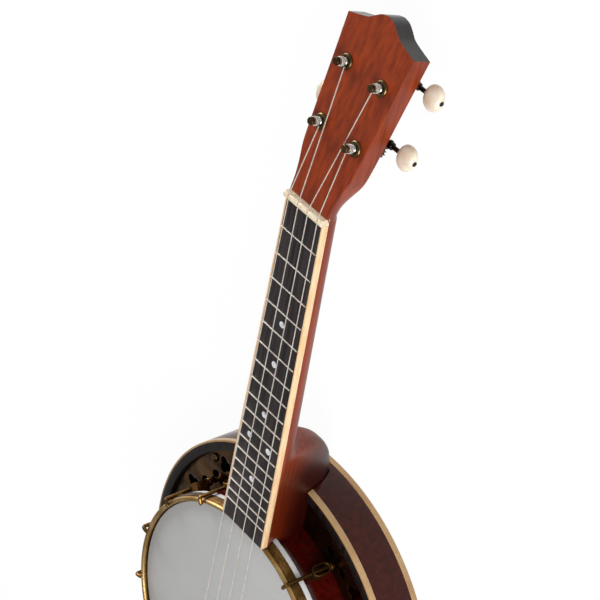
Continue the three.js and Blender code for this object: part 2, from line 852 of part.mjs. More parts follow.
function gearRing(height, hand) {
  const lead = wormPitch / (2 * Math.PI * wormPitchRadius);
  const lean = -hand * height * lead / gearPitchRadius;
  const step = 2 * Math.PI / gearTeeth;
  const points = [];
  for (let tooth = 0; tooth < gearTeeth; tooth += 1) {
    const middle = Math.PI / 2 + tooth * step - lean;
    [[gearRoot, -toothRootShare], [gearTip, -toothTipShare],
      [gearTip, toothTipShare], [gearRoot, toothRootShare]].forEach(([radius, share]) => {
      const angle = middle + share * step / 2;
      points.push(new THREE.Vector3(radius * Math.cos(angle), radius * Math.sin(angle), height));
    });
  }
  return points;
}

function buildGear(hand) {
  const rings = [-gearWidth / 2, gearWidth / 2].map((height) => gearRing(height, hand));
  const shape = rings.map((ring) => ring.map((point) => point.clone()));
  const gear = loftStar(shape);
  return gear.translate(0, 0, -gearDepth);
}

// Like loft, with caps that fan out from the middle, as a star outline needs
function loftStar(rings) {
  const [low, high] = rings;
  const count = low.length;
  const positions = [...low, ...high].flatMap((point) => [point.x, point.y, point.z]);
  positions.push(0, 0, low[0].z, 0, 0, high[0].z);
  const index = [];
  for (let i = 0; i < count; i += 1) {
    const next = (i + 1) % count;
    index.push(i, next, i + count, next, next + count, i + count);
    index.push(2 * count, next, i);
    index.push(2 * count + 1, i + count, next + count);
  }
  const geometry = new THREE.BufferGeometry();
  geometry.setAttribute('position', new THREE.Float32BufferAttribute(positions, 3));
  geometry.setIndex(index);
  return surface(solid(geometry));
}

// The shaft runs along X from the inner ear to the button
function buildShaft(hand) {
  const inner = -earInner - plateThickness - shaftOverhang;
  const outer = buttonCentre + buttonHalfLength + shaftProud;
  const shaft = bar(wormCore, inner, outer).rotateY(Math.PI / 2);
  const rings = [];
  const last = wormTurns * threadSteps;
  const sink = clearance;
  for (let i = 0; i <= last; i += 1) {
    const angle = 2 * Math.PI * i / threadSteps;
    const x = wormPitch * (i / threadSteps - wormTurns / 2);
    const tip = i === 0 || i === last ? wormCore - sink / 2 : wormTip;
    rings.push([[wormCore - sink, -threadRootShare], [tip, -threadTipShare],
      [tip, threadTipShare], [wormCore - sink, threadRootShare]].map(([radius, share]) => (
      new THREE.Vector3(
        x + share * wormPitch / 2,
        -radius * Math.cos(angle),
        -hand * radius * Math.sin(angle)))));
  }
  return join(shaft, loft(rings));
}

const buttonLengthShares = [-1, -0.86, -0.5, 0, 0.5, 0.86, 1];
const buttonWidthShares = [0.3, 0.62, 0.92, 1, 0.9, 0.58, 0.3];

function buildButton() {
  const rings = buttonLengthShares.map((along, i) => {
    const wide = buttonHalfWidth * buttonWidthShares[i];
    const thick = buttonHalfThickness * Math.sqrt(buttonWidthShares[i]);
    return Array.from({ length: postFaces }, (_, k) => {
      const angle = 2 * Math.PI * k / postFaces;
      return new THREE.Vector3(
        buttonCentre + along * buttonHalfLength, wide * Math.cos(angle), thick * Math.sin(angle));
    });
  });
  const outer = buttonCentre + buttonHalfLength;
  const hole = bar(wormCore + glueLine, -outer, outer + overrun).rotateY(Math.PI / 2);
  return cut(loft(rings), hole);
}

function buildHousing() {
  const top = -headThick - clearance;
  const low = -gearDepth - earReach;
  const outer = earInner + plateThickness;
  const profile = outline([
    [-outer, top], [-outer, low], [-earInner, low], [-earInner, top - plateThickness],
    [earInner, top - plateThickness], [earInner, low], [outer, low], [outer, top],
  ]);
  const body = plank(profile, -plateBelow, plateAbove);
  const postHole = bar(postRadius + clearance, top - overrun, top + overrun, postFaces);
  const shaftHole = bar(wormCore + clearance, -outer - overrun, outer + overrun);
  shaftHole.rotateY(Math.PI / 2).translate(0, wormDistance, -gearDepth);
  return cut(body, postHole, shaftHole);
}

function buildGrommet() {
  return revolve([
    [postRadius + clearance, -sleeveDepth], [sleeveRadius, -sleeveDepth],
    [sleeveRadius, glueLine], [grommetRadius, glueLine],
    [grommetRadius, grommetHeight / 2], [sleeveRadius, grommetHeight],
    [postRadius + clearance, grommetHeight],
  ], postFaces);
}

// String winding on a post: a helix that comes off the post's inner side
const windingRadius = postWaist + stringRadius + clearance;
const windingLow = waistBottom + stringRadius * 2;
const windingSweep = windingRadius + 2 * stringRadius;
const leaveRun = Math.sqrt(windingSweep ** 2 - windingRadius ** 2) + glueLine;

function windingStations(side) {
  const count = windingTurns * windingSteps;
  return Array.from({ length: count + 1 }, (_, i) => {
    const angle = 2 * Math.PI * i / windingSteps;
    return new THREE.Vector3(
      -side * windingRadius * Math.cos(angle),
      windingRadius * Math.sin(angle),
      windingLow + windingRise * i / windingSteps);
  });
}

function leastSelfGap(stations) {
  let least = Infinity;
  stations.forEach((point, i) => {
    stations.slice(i + windingSteps - 2).forEach((other) => {
      least = Math.min(least, point.distanceTo(other) - 2 * stringRadius);
    });
  });
  return least;
}

console.log(`least gap of a winding to itself: ${leastSelfGap(windingStations(1)).toFixed(2)} mm`);

const tunerNames = ['treble_high', 'treble_low', 'bass_high', 'bass_low'];

postPlaces().forEach(([x, y], i) => {
  const side = Math.sign(x);
  const name = tunerNames[i];
  const tuner = new THREE.Group();
  tuner.position.set(x, y, 0);
  headstock.add(tuner);
  place(`tuner_post_${name}`, buildPost(side), 'silver', tuner);
  place(`tuner_grommet_${name}`, buildGrommet(), 'brass', tuner);
  place(`tuner_housing_${name}`, buildHousing(), 'darkSteel', tuner);
  const winding = wire(windingStations(side), stringRadius, nylonFaces);
  place(`string_winding_${name}`, winding, 'nylon', tuner);
  const drive = new THREE.Group();
  drive.position.set(0, wormDistance, -gearDepth);
  drive.rotation.y = side > 0 ? 0 : Math.PI;
  tuner.add(drive);
  place(`worm_shaft_${name}`, buildShaft(side), 'darkSteel', drive);
  place(`tuner_button_${name}`, buildButton(), 'ivory', drive);
});

// Strings run from the tailpiece over bridge and nut to their posts
const stringTuners = [3, 2, 0, 1];
const stringNames = ['bass', 'second', 'third', 'treble'];

stringPlaces.forEach((place_, i) => {
  const [x, y] = postPlaces()[stringTuners[i]];
  const side = Math.sign(x);
  const leave = new THREE.Vector3(
    x - side * windingRadius, y - leaveRun, windingLow - stringRadius / 2);
  leave.applyMatrix4(headstock.matrix);
  const tailX = place_ * (2 * tailHalfWidth - slotWidth * 4) / 4;
  const nutX = place_ * nutStringSpacing;
  const bridgeX = place_ * bridgeStringSpacing;
  const nutHeight = boardTop + nutAction;
  const stations = [
    new THREE.Vector3(tailX, -tailInner - tailThickness * 2, tailStringHeight),
    new THREE.Vector3(bridgeX, bridgeY, stringHeight),
    new THREE.Vector3(nutX, nutY + nutLength, nutHeight),
    leave,
  ];
  place(`string_${stringNames[i]}`, wire(stations, stringRadius, nylonFaces), 'nylon');
});

export default instrument;
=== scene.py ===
"""Looks of a resonator banjo ukulele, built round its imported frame.

Sizes are in millimetres in the part's own frame: the origin on the pot's axis at the
resonator's flat back, +Y to the headstock, +X to the treble side, +Z out of the head.
"""
from __future__ import annotations

import logging
import math
from dataclasses import dataclass
from enum import Enum
from typing import Callable, Sequence

import bmesh
import bpy
import numpy as np
from mathutils import Matrix, Vector

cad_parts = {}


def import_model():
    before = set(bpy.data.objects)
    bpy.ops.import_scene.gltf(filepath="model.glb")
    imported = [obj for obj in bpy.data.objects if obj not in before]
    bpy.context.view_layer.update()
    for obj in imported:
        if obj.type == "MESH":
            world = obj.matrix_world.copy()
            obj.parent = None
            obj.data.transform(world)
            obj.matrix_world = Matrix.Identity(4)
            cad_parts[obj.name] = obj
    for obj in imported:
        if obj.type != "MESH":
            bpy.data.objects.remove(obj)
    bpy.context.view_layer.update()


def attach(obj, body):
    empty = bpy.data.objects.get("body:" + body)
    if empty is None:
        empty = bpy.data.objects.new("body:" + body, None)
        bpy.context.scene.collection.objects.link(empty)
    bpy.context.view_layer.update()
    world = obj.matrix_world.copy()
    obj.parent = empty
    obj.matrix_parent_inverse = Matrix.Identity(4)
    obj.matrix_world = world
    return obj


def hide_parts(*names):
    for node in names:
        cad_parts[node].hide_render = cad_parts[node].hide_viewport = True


LOG = logging.getLogger("banjo_ukulele")
MM = 0.001
TURN = 2 * math.pi
MERGE_REACH = 0.002 * MM
AXIS_GAP = 0.01
OVERRUN = 200.0
SHARP = 35.0
RING_FACES = 192
WIDE_FACES = 240
WHITE = (1, 1, 1, 1)
Pair = tuple[float, float]
Point = tuple[float, float, float]
Profile = list[Pair]


class Tuner(Enum):
    """The four tuners, with the side and the row that each stands in."""

    TREBLE_HIGH = ("treble_high", 1, True)
    TREBLE_LOW = ("treble_low", 1, False)
    BASS_HIGH = ("bass_high", -1, True)
    BASS_LOW = ("bass_low", -1, False)

    def __init__(self, word: str, side: int, high: bool) -> None:
        """Names the member's three values."""
        self.word, self.side, self.high = word, side, high


@dataclass(frozen=True)
class Plan:
    """Sizes that several sub-assemblies share, in millimetres."""

    clearance: float = 0.3
    glue: float = 0.1
    end_gap: float = 0.6
    resonator_radius: float = 130.85
    resonator_wall: float = 8.0
    pot_radius: float = 96.3
    pot_wall: float = 8.5
    head_surface: float = 69.7
    flesh_drop: float = 10.4
    hoop_inner: float = 97.7
    hoop_outer: float = 101.6
    hoop_top: float = 73.2
    hook_count: int = 13
    hook_neck_angle: float = math.radians(28)
    hook_wire: float = 1.4
    board_top: float = 77.2
    neck_top: float = 72.4
    nut_y: float = 363.0
    nut_length: float = 5.0
    scale: float = 380.0
    frets: int = 18
    board_nut_half: float = 16.67
    board_end_half: float = 20.3
    board_binding: float = 1.5
    head_tilt: float = math.radians(16)
    face_drop: float = 2.0
    head_thick: float = 14.0
    post_x: float = 16.2
    post_low: float = 47.9
    post_high: float = 88.4
    post_radius: float = 2.6
    sleeve_radius: float = 4.0
    string_radius: float = 0.35
    string_places: tuple[float, ...] = (-1.5, -0.5, 0.5, 1.5)
    nut_spacing: float = 9.4
    nut_action: float = 1.3
    bridge_spacing: float = 11.75
    bridge_action: float = 5.0
    tail_spacing: float = 6.2
    tail_sheet: float = 1.3
    tail_reach: float = 22.0

    @property
    def hook_axis(self) -> float:
        """Radius of the hooks' shanks from the pot's axis."""
        return self.hoop_outer + self.clearance + self.hook_wire

    @property
    def hook_step(self) -> float:
        """Angle between neighbouring hooks."""
        return (TURN - 2 * self.hook_neck_angle) / (self.hook_count - 1)

    @property
    def board_end(self) -> float:
        """Place of the fretboard's straight end, clear of the hoop."""
        return self.hoop_outer + self.end_gap

    @property
    def bridge_y(self) -> float:
        """Place of the bridge, one scale from the nut."""
        return self.nut_y - self.scale

    @property
    def flare(self) -> float:
        """Growth of the fretboard's half width along the neck."""
        return (self.board_end_half - self.board_nut_half) / (self.nut_y - self.fret_y(self.frets))

    @property
    def string_drop(self) -> float:
        """Depth of a string's slot under the string's axis."""
        return self.string_radius + self.clearance

    @property
    def tail_inner(self) -> float:
        """Radius of the tailpiece's inner edge."""
        return self.hoop_outer - self.tail_reach

    @property
    def headstock(self) -> Matrix:
        """The headstock's tilted frame."""
        origin = Vector((0, self.nut_y + self.nut_length, self.board_top - self.face_drop))
        return Matrix.Translation(origin) @ Matrix.Rotation(-self.head_tilt, 4, "X")

    def fret_y(self, number: int) -> float:
        """Place of a fret along the neck."""
        return self.nut_y - self.scale * (1 - 2 ** (-number / 12))

    def board_half(self, y: float) -> float:
        """Half the fretboard's width at a place along the neck."""
        return self.board_nut_half + self.flare * (self.nut_y - y)

    def post_frame(self, tuner: Tuner) -> Matrix:
        """A post's own frame, on the headstock's face."""
        place = (tuner.side * self.post_x, self.post_high if tuner.high else self.post_low, 0)
        return self.headstock @ Matrix.Translation(place)


def tint(code: str, level: float = 1.0) -> tuple[float, ...]:
    """Turns a written screen colour into the linear colour that shaders read.

    Args:
        code: six hexadecimal digits.
        level: share of the brightness that is kept.

    Returns:
        Red, green, blue and full alpha, linear.
    """
    parts = [int(code[i:i + 2], 16) / 255 for i in (0, 2, 4)]
    linear = [c / 12.92 if c <= 0.04045 else ((c + 0.055) / 1.055) ** 2.4 for c in parts]
    return tuple(level * c for c in linear) + (1.0,)


def arithmetic(operation: str, flipped: bool = False) -> Callable[[Expr, object], Expr]:
    """Makes an operator of Expr that adds a Math node.

    Args:
        operation: the node's operation.
        flipped: whether the other operand stands first.

    Returns:
        The method.
    """
    def method(self: Expr, other: object) -> Expr:
        """The node's result."""
        pair = {0: other, 1: self} if flipped else {0: self, 1: other}
        return self.graph.number("ShaderNodeMath", pair, operation=operation)
    return method


class Expr:
    """A number that varies over a surface or a field, with arithmetic that adds Math nodes."""

    def __init__(self, graph: Graph, socket: bpy.types.NodeSocket) -> None:
        """Keeps the graph and the socket that gives the number."""
        self.graph, self.socket = graph, socket

    __add__, __radd__ = arithmetic("ADD"), arithmetic("ADD", True)
    __sub__, __rsub__ = arithmetic("SUBTRACT"), arithmetic("SUBTRACT", True)
    __mul__, __rmul__ = arithmetic("MULTIPLY"), arithmetic("MULTIPLY", True)
    __truediv__, __rpow__ = arithmetic("DIVIDE"), arithmetic("POWER", True)

    def step(self, low: float, high: float) -> Expr:
        """A smooth rise from 0 at low to 1 at high.

        Args:
            low: where the rise starts.
            high: where it ends.

        Returns:
            The rise as a number from 0 to 1.
        """
        return self.graph.number(
            "ShaderNodeMapRange", {"Value": self, "From Min": low, "From Max": high},
            interpolation_type="SMOOTHSTEP")


class Graph:
    """A node tree whose nodes all come from one method."""

    def __init__(self, tree: bpy.types.NodeTree) -> None:
        """Keeps the tree."""
        self.tree = tree

    def node(self, kind: str, inputs: dict | None = None, **settings: object) -> bpy.types.Node:
        """Adds a node.

        Args:
            kind: the node's type.
            inputs: values, expressions or sockets by input name or index.
            settings: properties that are set first.

        Returns:
            The new node.
        """
        made = self.tree.nodes.new(kind)
        for key, value in settings.items():
            setattr(made, key, value)
        for key, value in (inputs or {}).items():
            value = value.socket if isinstance(value, Expr) else value
            if isinstance(value, bpy.types.NodeSocket):
                self.tree.links.new(value, made.inputs[key])
            else:
                made.inputs[key].default_value = value
        return made

    def number(self, kind: str, inputs: dict | None = None, output: object = 0, **settings: object) -> Expr:
        """Adds a node and reads one of its outputs as a number."""
        return Expr(self, self.node(kind, inputs, **settings).outputs[output])


class Paint(Graph):
    """A material under construction, in object coordinates, which are metres."""

    def __init__(self, name: str) -> None:
        """Starts an empty node material.

        Args:
            name: the material's name.
        """
        self.material = bpy.data.materials.new(name)
        self.material.use_nodes = True
        super().__init__(self.material.node_tree)
        self.tree.nodes.clear()
        self.place = self.node("ShaderNodeTexCoord").outputs["Object"]

    def noise(self, scale: float, detail: float, stretch: Point | None = None) -> Expr:
        """Fractal noise from 0 to 1.

        Args:
            scale: the noise's scale.
            detail: its octaves.
            stretch: a further scale along each axis.

        Returns:
            The noise.
        """
        where = self.place
        if stretch:
            where = self.node("ShaderNodeMapping", {"Vector": where, "Scale": stretch}).outputs[0]
        return self.number("ShaderNodeTexNoise", {"Vector": where, "Scale": scale, "Detail": detail})

    def mix(self, share: object, first: object, second: object) -> bpy.types.NodeSocket:
        """A blend of two colours."""
        return self.node("ShaderNodeMix", {0: share, 6: first, 7: second}, data_type="RGBA").outputs[2]

    def bump(self, height: Expr, depth: float, strength: float) -> bpy.types.NodeSocket:
        """A normal bent by a height, with its depth in metres."""
        inputs = {"Height": height, "Distance": depth, "Strength": strength}
        return self.node("ShaderNodeBump", inputs).outputs[0]

    def finish(self, **sockets: object) -> bpy.types.Material:
        """Ends the material in a Principled shader.

        Args:
            sockets: the shader's inputs, with underscores for spaces.

        Returns:
            The finished material.
        """
        inputs = {key.replace("_", " "): value for key, value in sockets.items()}
        shader = self.node("ShaderNodeBsdfPrincipled", inputs)
        self.node("ShaderNodeOutputMaterial", {"Surface": shader.outputs[0]})
        return self.material


@dataclass(frozen=True)
class LacqueredWood:
    """Stained wood with long grain, a soft figure across it and a clear gloss coat."""

    name: str
    light: str
    dark: str
    gloss: float = 0.1
    index: float = 1.5
    painted_heel_shade: str = ""
    figure_share: float = 0.15
    painted_shade_up: Pair = (0.04, 0.09)
    painted_shade_along: Pair = (0.145, 0.19)

    def build(self) -> bpy.types.Material:
        """Makes the material; a painted shade darkens the heel towards its foot, where shade falls."""
        paint = Paint(self.name)
        grain = paint.noise(1.0, 6.0, (300, 12, 300))
        pores = paint.noise(1.0, 3.0, (1500, 60, 1500))
        figure = paint.noise(1.0, 3.0, (18, 90, 24))
        share = (grain * (1 - self.figure_share) + figure * self.figure_share).step(0.25, 0.75)
        base = paint.mix(share, tint(self.dark), tint(self.light))
        colour = paint.mix(pores.step(0.56, 0.72) * 0.2, base, tint(self.dark))
        # painted shade: a darker red mixed in low on the heel, near the pot, where shade falls
        if self.painted_heel_shade:
            axes = paint.node("ShaderNodeSeparateXYZ", {0: paint.place})
            along, up = Expr(paint, axes.outputs[1]), Expr(paint, axes.outputs[2])
            heel_shade_share = (1 - up.step(*self.painted_shade_up)) * (1 - along.step(*self.painted_shade_along))
            colour = paint.mix(heel_shade_share, colour, tint(self.painted_heel_shade))
        return paint.finish(
            Base_Color=colour, Roughness=0.34 + pores * 0.16, Normal=paint.bump(pores, 0.00002, 0.2),
            Specular_IOR_Level=0.0, Coat_Weight=1.0, Coat_Roughness=self.gloss, Coat_IOR=self.index)


@dataclass(frozen=True)
class AgedBrass:
    """Antique brass: warm metal with brown patina in patches and fine wear."""

    name: str
    bright: str = "916b39"
    patina: str = "453017"
    rough: float = 0.24

    def build(self) -> bpy.types.Material:
        """Makes the material."""
        paint = Paint(self.name)
        cloud, fine = paint.noise(55.0, 5.0), paint.noise(900.0, 3.0)
        age = (cloud * 0.75 + fine * 0.25).step(0.36, 0.66)
        return paint.finish(
            Base_Color=paint.mix(age, tint(self.patina), tint(self.bright)), Metallic=1.0,
            Roughness=self.rough + (1 - age) * 0.22, Normal=paint.bump(fine, 0.00002, 0.35))


@dataclass(frozen=True)
class PolishedMetal:
    """Plated or blued metal with faint turning marks."""

    name: str
    colour: str
    rough: float
    dulled: float = 0.45

    def build(self) -> bpy.types.Material:
        """Makes the material."""
        paint = Paint(self.name)
        marks, cloud = paint.noise(1.0, 3.0, (300, 300, 2600)), paint.noise(180.0, 3.0)
        shade = cloud.step(0.5, 0.75) * 0.4
        return paint.finish(
            Base_Color=paint.mix(shade, tint(self.colour), tint(self.colour, self.dulled)), Metallic=1.0,
            Roughness=self.rough + marks * 0.15, Normal=paint.bump(marks, 0.00001, 0.4))


@dataclass(frozen=True)
class CastPlastic:
    """Celluloid, bone or pearl: pale, a little cloudy, with a soft gloss."""

    name: str
    light: str
    dark: str
    cloud: float
    rough: float = 0.28
    soft: float = 0.15
    streak: float = 1.0

    def build(self) -> bpy.types.Material:
        """Makes the material."""
        paint = Paint(self.name)
        swirl, fine = paint.noise(self.cloud, 5.0, (self.streak, 1.0, self.streak)), paint.noise(1400.0, 2.0)
        return paint.finish(
            Base_Color=paint.mix(swirl.step(0.35, 0.7), tint(self.light), tint(self.dark)),
            Roughness=self.rough + swirl * 0.12, Normal=paint.bump(fine, 0.00001, 0.3),
            Coat_Weight=0.4, Coat_Roughness=0.15, Subsurface_Weight=self.soft, Subsurface_Scale=0.002)


@dataclass(frozen=True)
class OilyRosewood:
    """Charcoal-brown fretboard wood with open pores and a dull sheen."""

    name: str
    light: str = "373031"
    dark: str = "1c1718"
    pore: str = "191415"

    def build(self) -> bpy.types.Material:
        """Makes the material."""
        paint = Paint(self.name)
        grain = paint.noise(1.0, 6.0, (420, 16, 420))
        pores = paint.noise(1.0, 3.0, (2600, 110, 2600))
        base = paint.mix(grain.step(0.3, 0.7), tint(self.dark), tint(self.light))
        return paint.finish(
            Base_Color=paint.mix(pores.step(0.56, 0.7) * 0.7, base, tint(self.pore)),
            Roughness=0.42 + pores * 0.25, Specular_IOR_Level=0.2,
            Normal=paint.bump(1 - pores.step(0.55, 0.7), 0.00006, 0.6))


@dataclass(frozen=True)
class CoatedFilm:
    """The drum head's frosted coating: a fine even grain."""

    name: str
    colour: str = "b6b6b5"
    shaded: float = 0.93

    def build(self) -> bpy.types.Material:
        """Makes the material."""
        paint = Paint(self.name)
        grain, cloud = paint.noise(2200.0, 2.0), paint.noise(14.0, 3.0)
        return paint.finish(
            Base_Color=paint.mix(cloud.step(0.3, 0.7), tint(self.colour, self.shaded), tint(self.colour)),
            Roughness=0.4 + grain * 0.15, Normal=paint.bump(grain, 0.00002, 0.35))


class Palette:
    """Every finish of the instrument, made once."""

    def __init__(self) -> None:
        """Builds the materials."""
        # the neck's last colour is a painted shade for the heel's foot
        self.neck = LacqueredWood("neck lacquer", "92360a", "6b2105", 0.36, 1.4, "2c0401").build()
        self.neck_end = LacqueredWood("black end lacquer", "2f2a28", "171413", 0.2, 1.4).build()
        self.pot = LacqueredWood("pot lacquer", "560d07", "360604", index=1.4).build()
        self.side = LacqueredWood("resonator lacquer", "451508", "2f0b05", index=1.3).build()
        self.black = LacqueredWood("black lacquer", "241f1e", "110e0e", 0.25, 1.25).build()
        self.maple = LacqueredWood("bridge maple", "d8b27c", "b58a55", 0.4).build()
        self.brass = AgedBrass("aged brass").build()
        # painted highlight: a lighter brass for the hoop's bead, where light falls on its crest
        self.bead_highlight = AgedBrass("painted highlight brass", "cfae78", "94733f", 0.3).build()
        self.flange = AgedBrass("flange brass", "6a4a28", "3a2412", 0.14).build()
        self.cap = AgedBrass("post cap brass", "6d5a3a", "3b2f1f", 0.22).build()
        self.steel = PolishedMetal("post nickel", "b4b0aa", 0.18).build()
        self.rod = PolishedMetal("rod nickel", "a5a3a0", 0.3).build()
        self.dark = PolishedMetal("dark shaft", "3a302a", 0.3).build()
        self.fret = PolishedMetal("fret nickel", "d8d0c6", 0.3).build()
        self.binding = CastPlastic("cream binding", "bf9c6b", "a98252", 60, streak=0.2).build()
        self.board_binding = CastPlastic("peach binding", "f2d0a6", "e6bb88", 60, streak=9).build()
        self.bone = CastPlastic("bone nut", "ecdcc1", "d8c4a3", 260).build()
        self.ivory = CastPlastic("button ivory", "f4e6d2", "e4ceb2", 130).build()
        self.pearl = CastPlastic("pearl dot", "f2f0f4", "b9b6c0", 420, 0.15).build()
        self.nylon = CastPlastic("nylon string", "c6c0b6", "aca69c", 300, 0.25, 0.2).build()
        self.rosewood = OilyRosewood("rosewood").build()
        self.film = CoatedFilm("coated film").build()
        self.collar = CoatedFilm("head collar", "dcdcdc").build()


def turns(count: int, offset: float = 0.0) -> list[float]:
    """Equal angles round a full turn, from an offset in steps."""
    return [TURN * (i + offset) / count for i in range(count)]


def arc(centre: Pair, reach: Pair, start: float, end: float, steps: int) -> Profile:
    """Points along an ellipse, in equal steps of the angle.

    Args:
        centre: the ellipse's centre.
        reach: half its width and half its height.
        start: the first point's angle.
        end: the last point's angle.
        steps: spans between the points.

    Returns:
        The points, one more than the spans.
    """
    return [(centre[0] + reach[0] * math.cos(t), centre[1] + reach[1] * math.sin(t))
            for t in np.linspace(start, end, steps + 1)]


def axial(profile: Sequence[Pair]) -> Profile:
    """A profile closed along the axis, at the heights of its first and last points."""
    return [(AXIS_GAP, profile[0][1]), *profile, (AXIS_GAP, profile[-1][1])]


def rectangle(left: float, right: float, low: float, high: float) -> Profile:
    """A rectangle's four corners."""
    return [(left, low), (right, low), (right, high), (left, high)]


def numbered(word: str, count: int) -> list[str]:
    """Node names that end in two digits, from 01."""
    return [f"{word}_{i + 1:02d}" for i in range(count)]


def turned(outline: Profile, angle: float) -> Profile:
    """An outline turned clockwise round the origin."""
    cosine, sine = math.cos(angle), math.sin(angle)
    return [(x * cosine + y * sine, y * cosine - x * sine) for x, y in outline]


def rounded(points: Sequence[Pair], radius: float, steps: int = 3, closed: bool = True) -> Profile:
    """Rounds the corners of a profile with small arcs.

    Args:
        points: the profile's corners.
        radius: the fillet's reach along each side.
        steps: arc steps at each corner.
        closed: whether the last point joins the first.

    Returns:
        The profile with its corners eased.
    """
    made: Profile = []
    longest_share = 1 / 2.1
    for i, corner in enumerate(points):
        if not closed and i in (0, len(points) - 1):
            made.append(corner)
            continue
        here = Vector(corner)
        before, after = Vector(points[i - 1]) - here, Vector(points[(i + 1) % len(points)]) - here
        reach = min(radius, before.length * longest_share, after.length * longest_share)
        start, end = here + before.normalized() * reach, here + after.normalized() * reach
        for t in (k / steps for k in range(steps + 1)):
            made.append(tuple(start * (1 - t) ** 2 + here * 2 * t * (1 - t) + end * t ** 2))
    return made


def blend(first: np.ndarray, second: np.ndarray, share: float) -> np.ndarray:
    """The first array, moved a share of the way to the second."""
    return first + (second - first) * share


def eased(places: Sequence[float], values: Sequence[float], wanted: np.ndarray) -> np.ndarray:
    """A smooth curve through a few values, which never overshoots them.

    Args:
        places: where the values stand, rising.
        values: the values.
        wanted: the places to read the curve at.

    Returns:
        The curve's values there.
    """
    x, y = np.asarray(places, float), np.asarray(values, float)
    rise = np.diff(y) / np.diff(x)
    slope = np.concatenate([[rise[0]], np.zeros(len(rise) - 1), [rise[-1]]])
    for i in range(1, len(rise)):
        if rise[i - 1] * rise[i] > 0:
            slope[i] = 2 / (1 / rise[i - 1] + 1 / rise[i])
    at = np.clip(np.searchsorted(x, wanted, side="right") - 1, 0, len(x) - 2)
    width = x[at + 1] - x[at]
    t = np.clip((wanted - x[at]) / width, 0, 1)
    return ((1 + 2 * t) * (1 - t) ** 2 * y[at] + t * (1 - t) ** 2 * width * slope[at]
            + t ** 2 * (3 - 2 * t) * y[at + 1] + t ** 2 * (t - 1) * width * slope[at + 1])


def flat(u: float, v: float, height: float) -> Point:
    """A place on an outline that lies flat and rises along Z."""
    return (u, v, height)


def upright(u: float, v: float, height: float) -> Point:
    """A place on an outline that stands across X."""
    return (height, u, v)


def link(name: str, data: bpy.types.ID) -> bpy.types.Object:
    """Adds an object to the scene.

    Args:
        name: the object's name.
        data: its mesh, curve, camera or light.

    Returns:
        The new object.
    """
    made = bpy.data.objects.new(name, data)
    bpy.context.scene.collection.objects.link(made)
    return made


def settle(work: bmesh.types.BMesh, mesh: bpy.types.Mesh) -> None:
    """Merges doubles, turns the faces outwards and fills the mesh.

    Args:
        work: the faces to settle, freed afterwards.
        mesh: the mesh that takes them.
    """
    bmesh.ops.remove_doubles(work, verts=work.verts, dist=MERGE_REACH)
    bmesh.ops.recalc_face_normals(work, faces=work.faces)
    work.to_mesh(mesh)
    work.free()


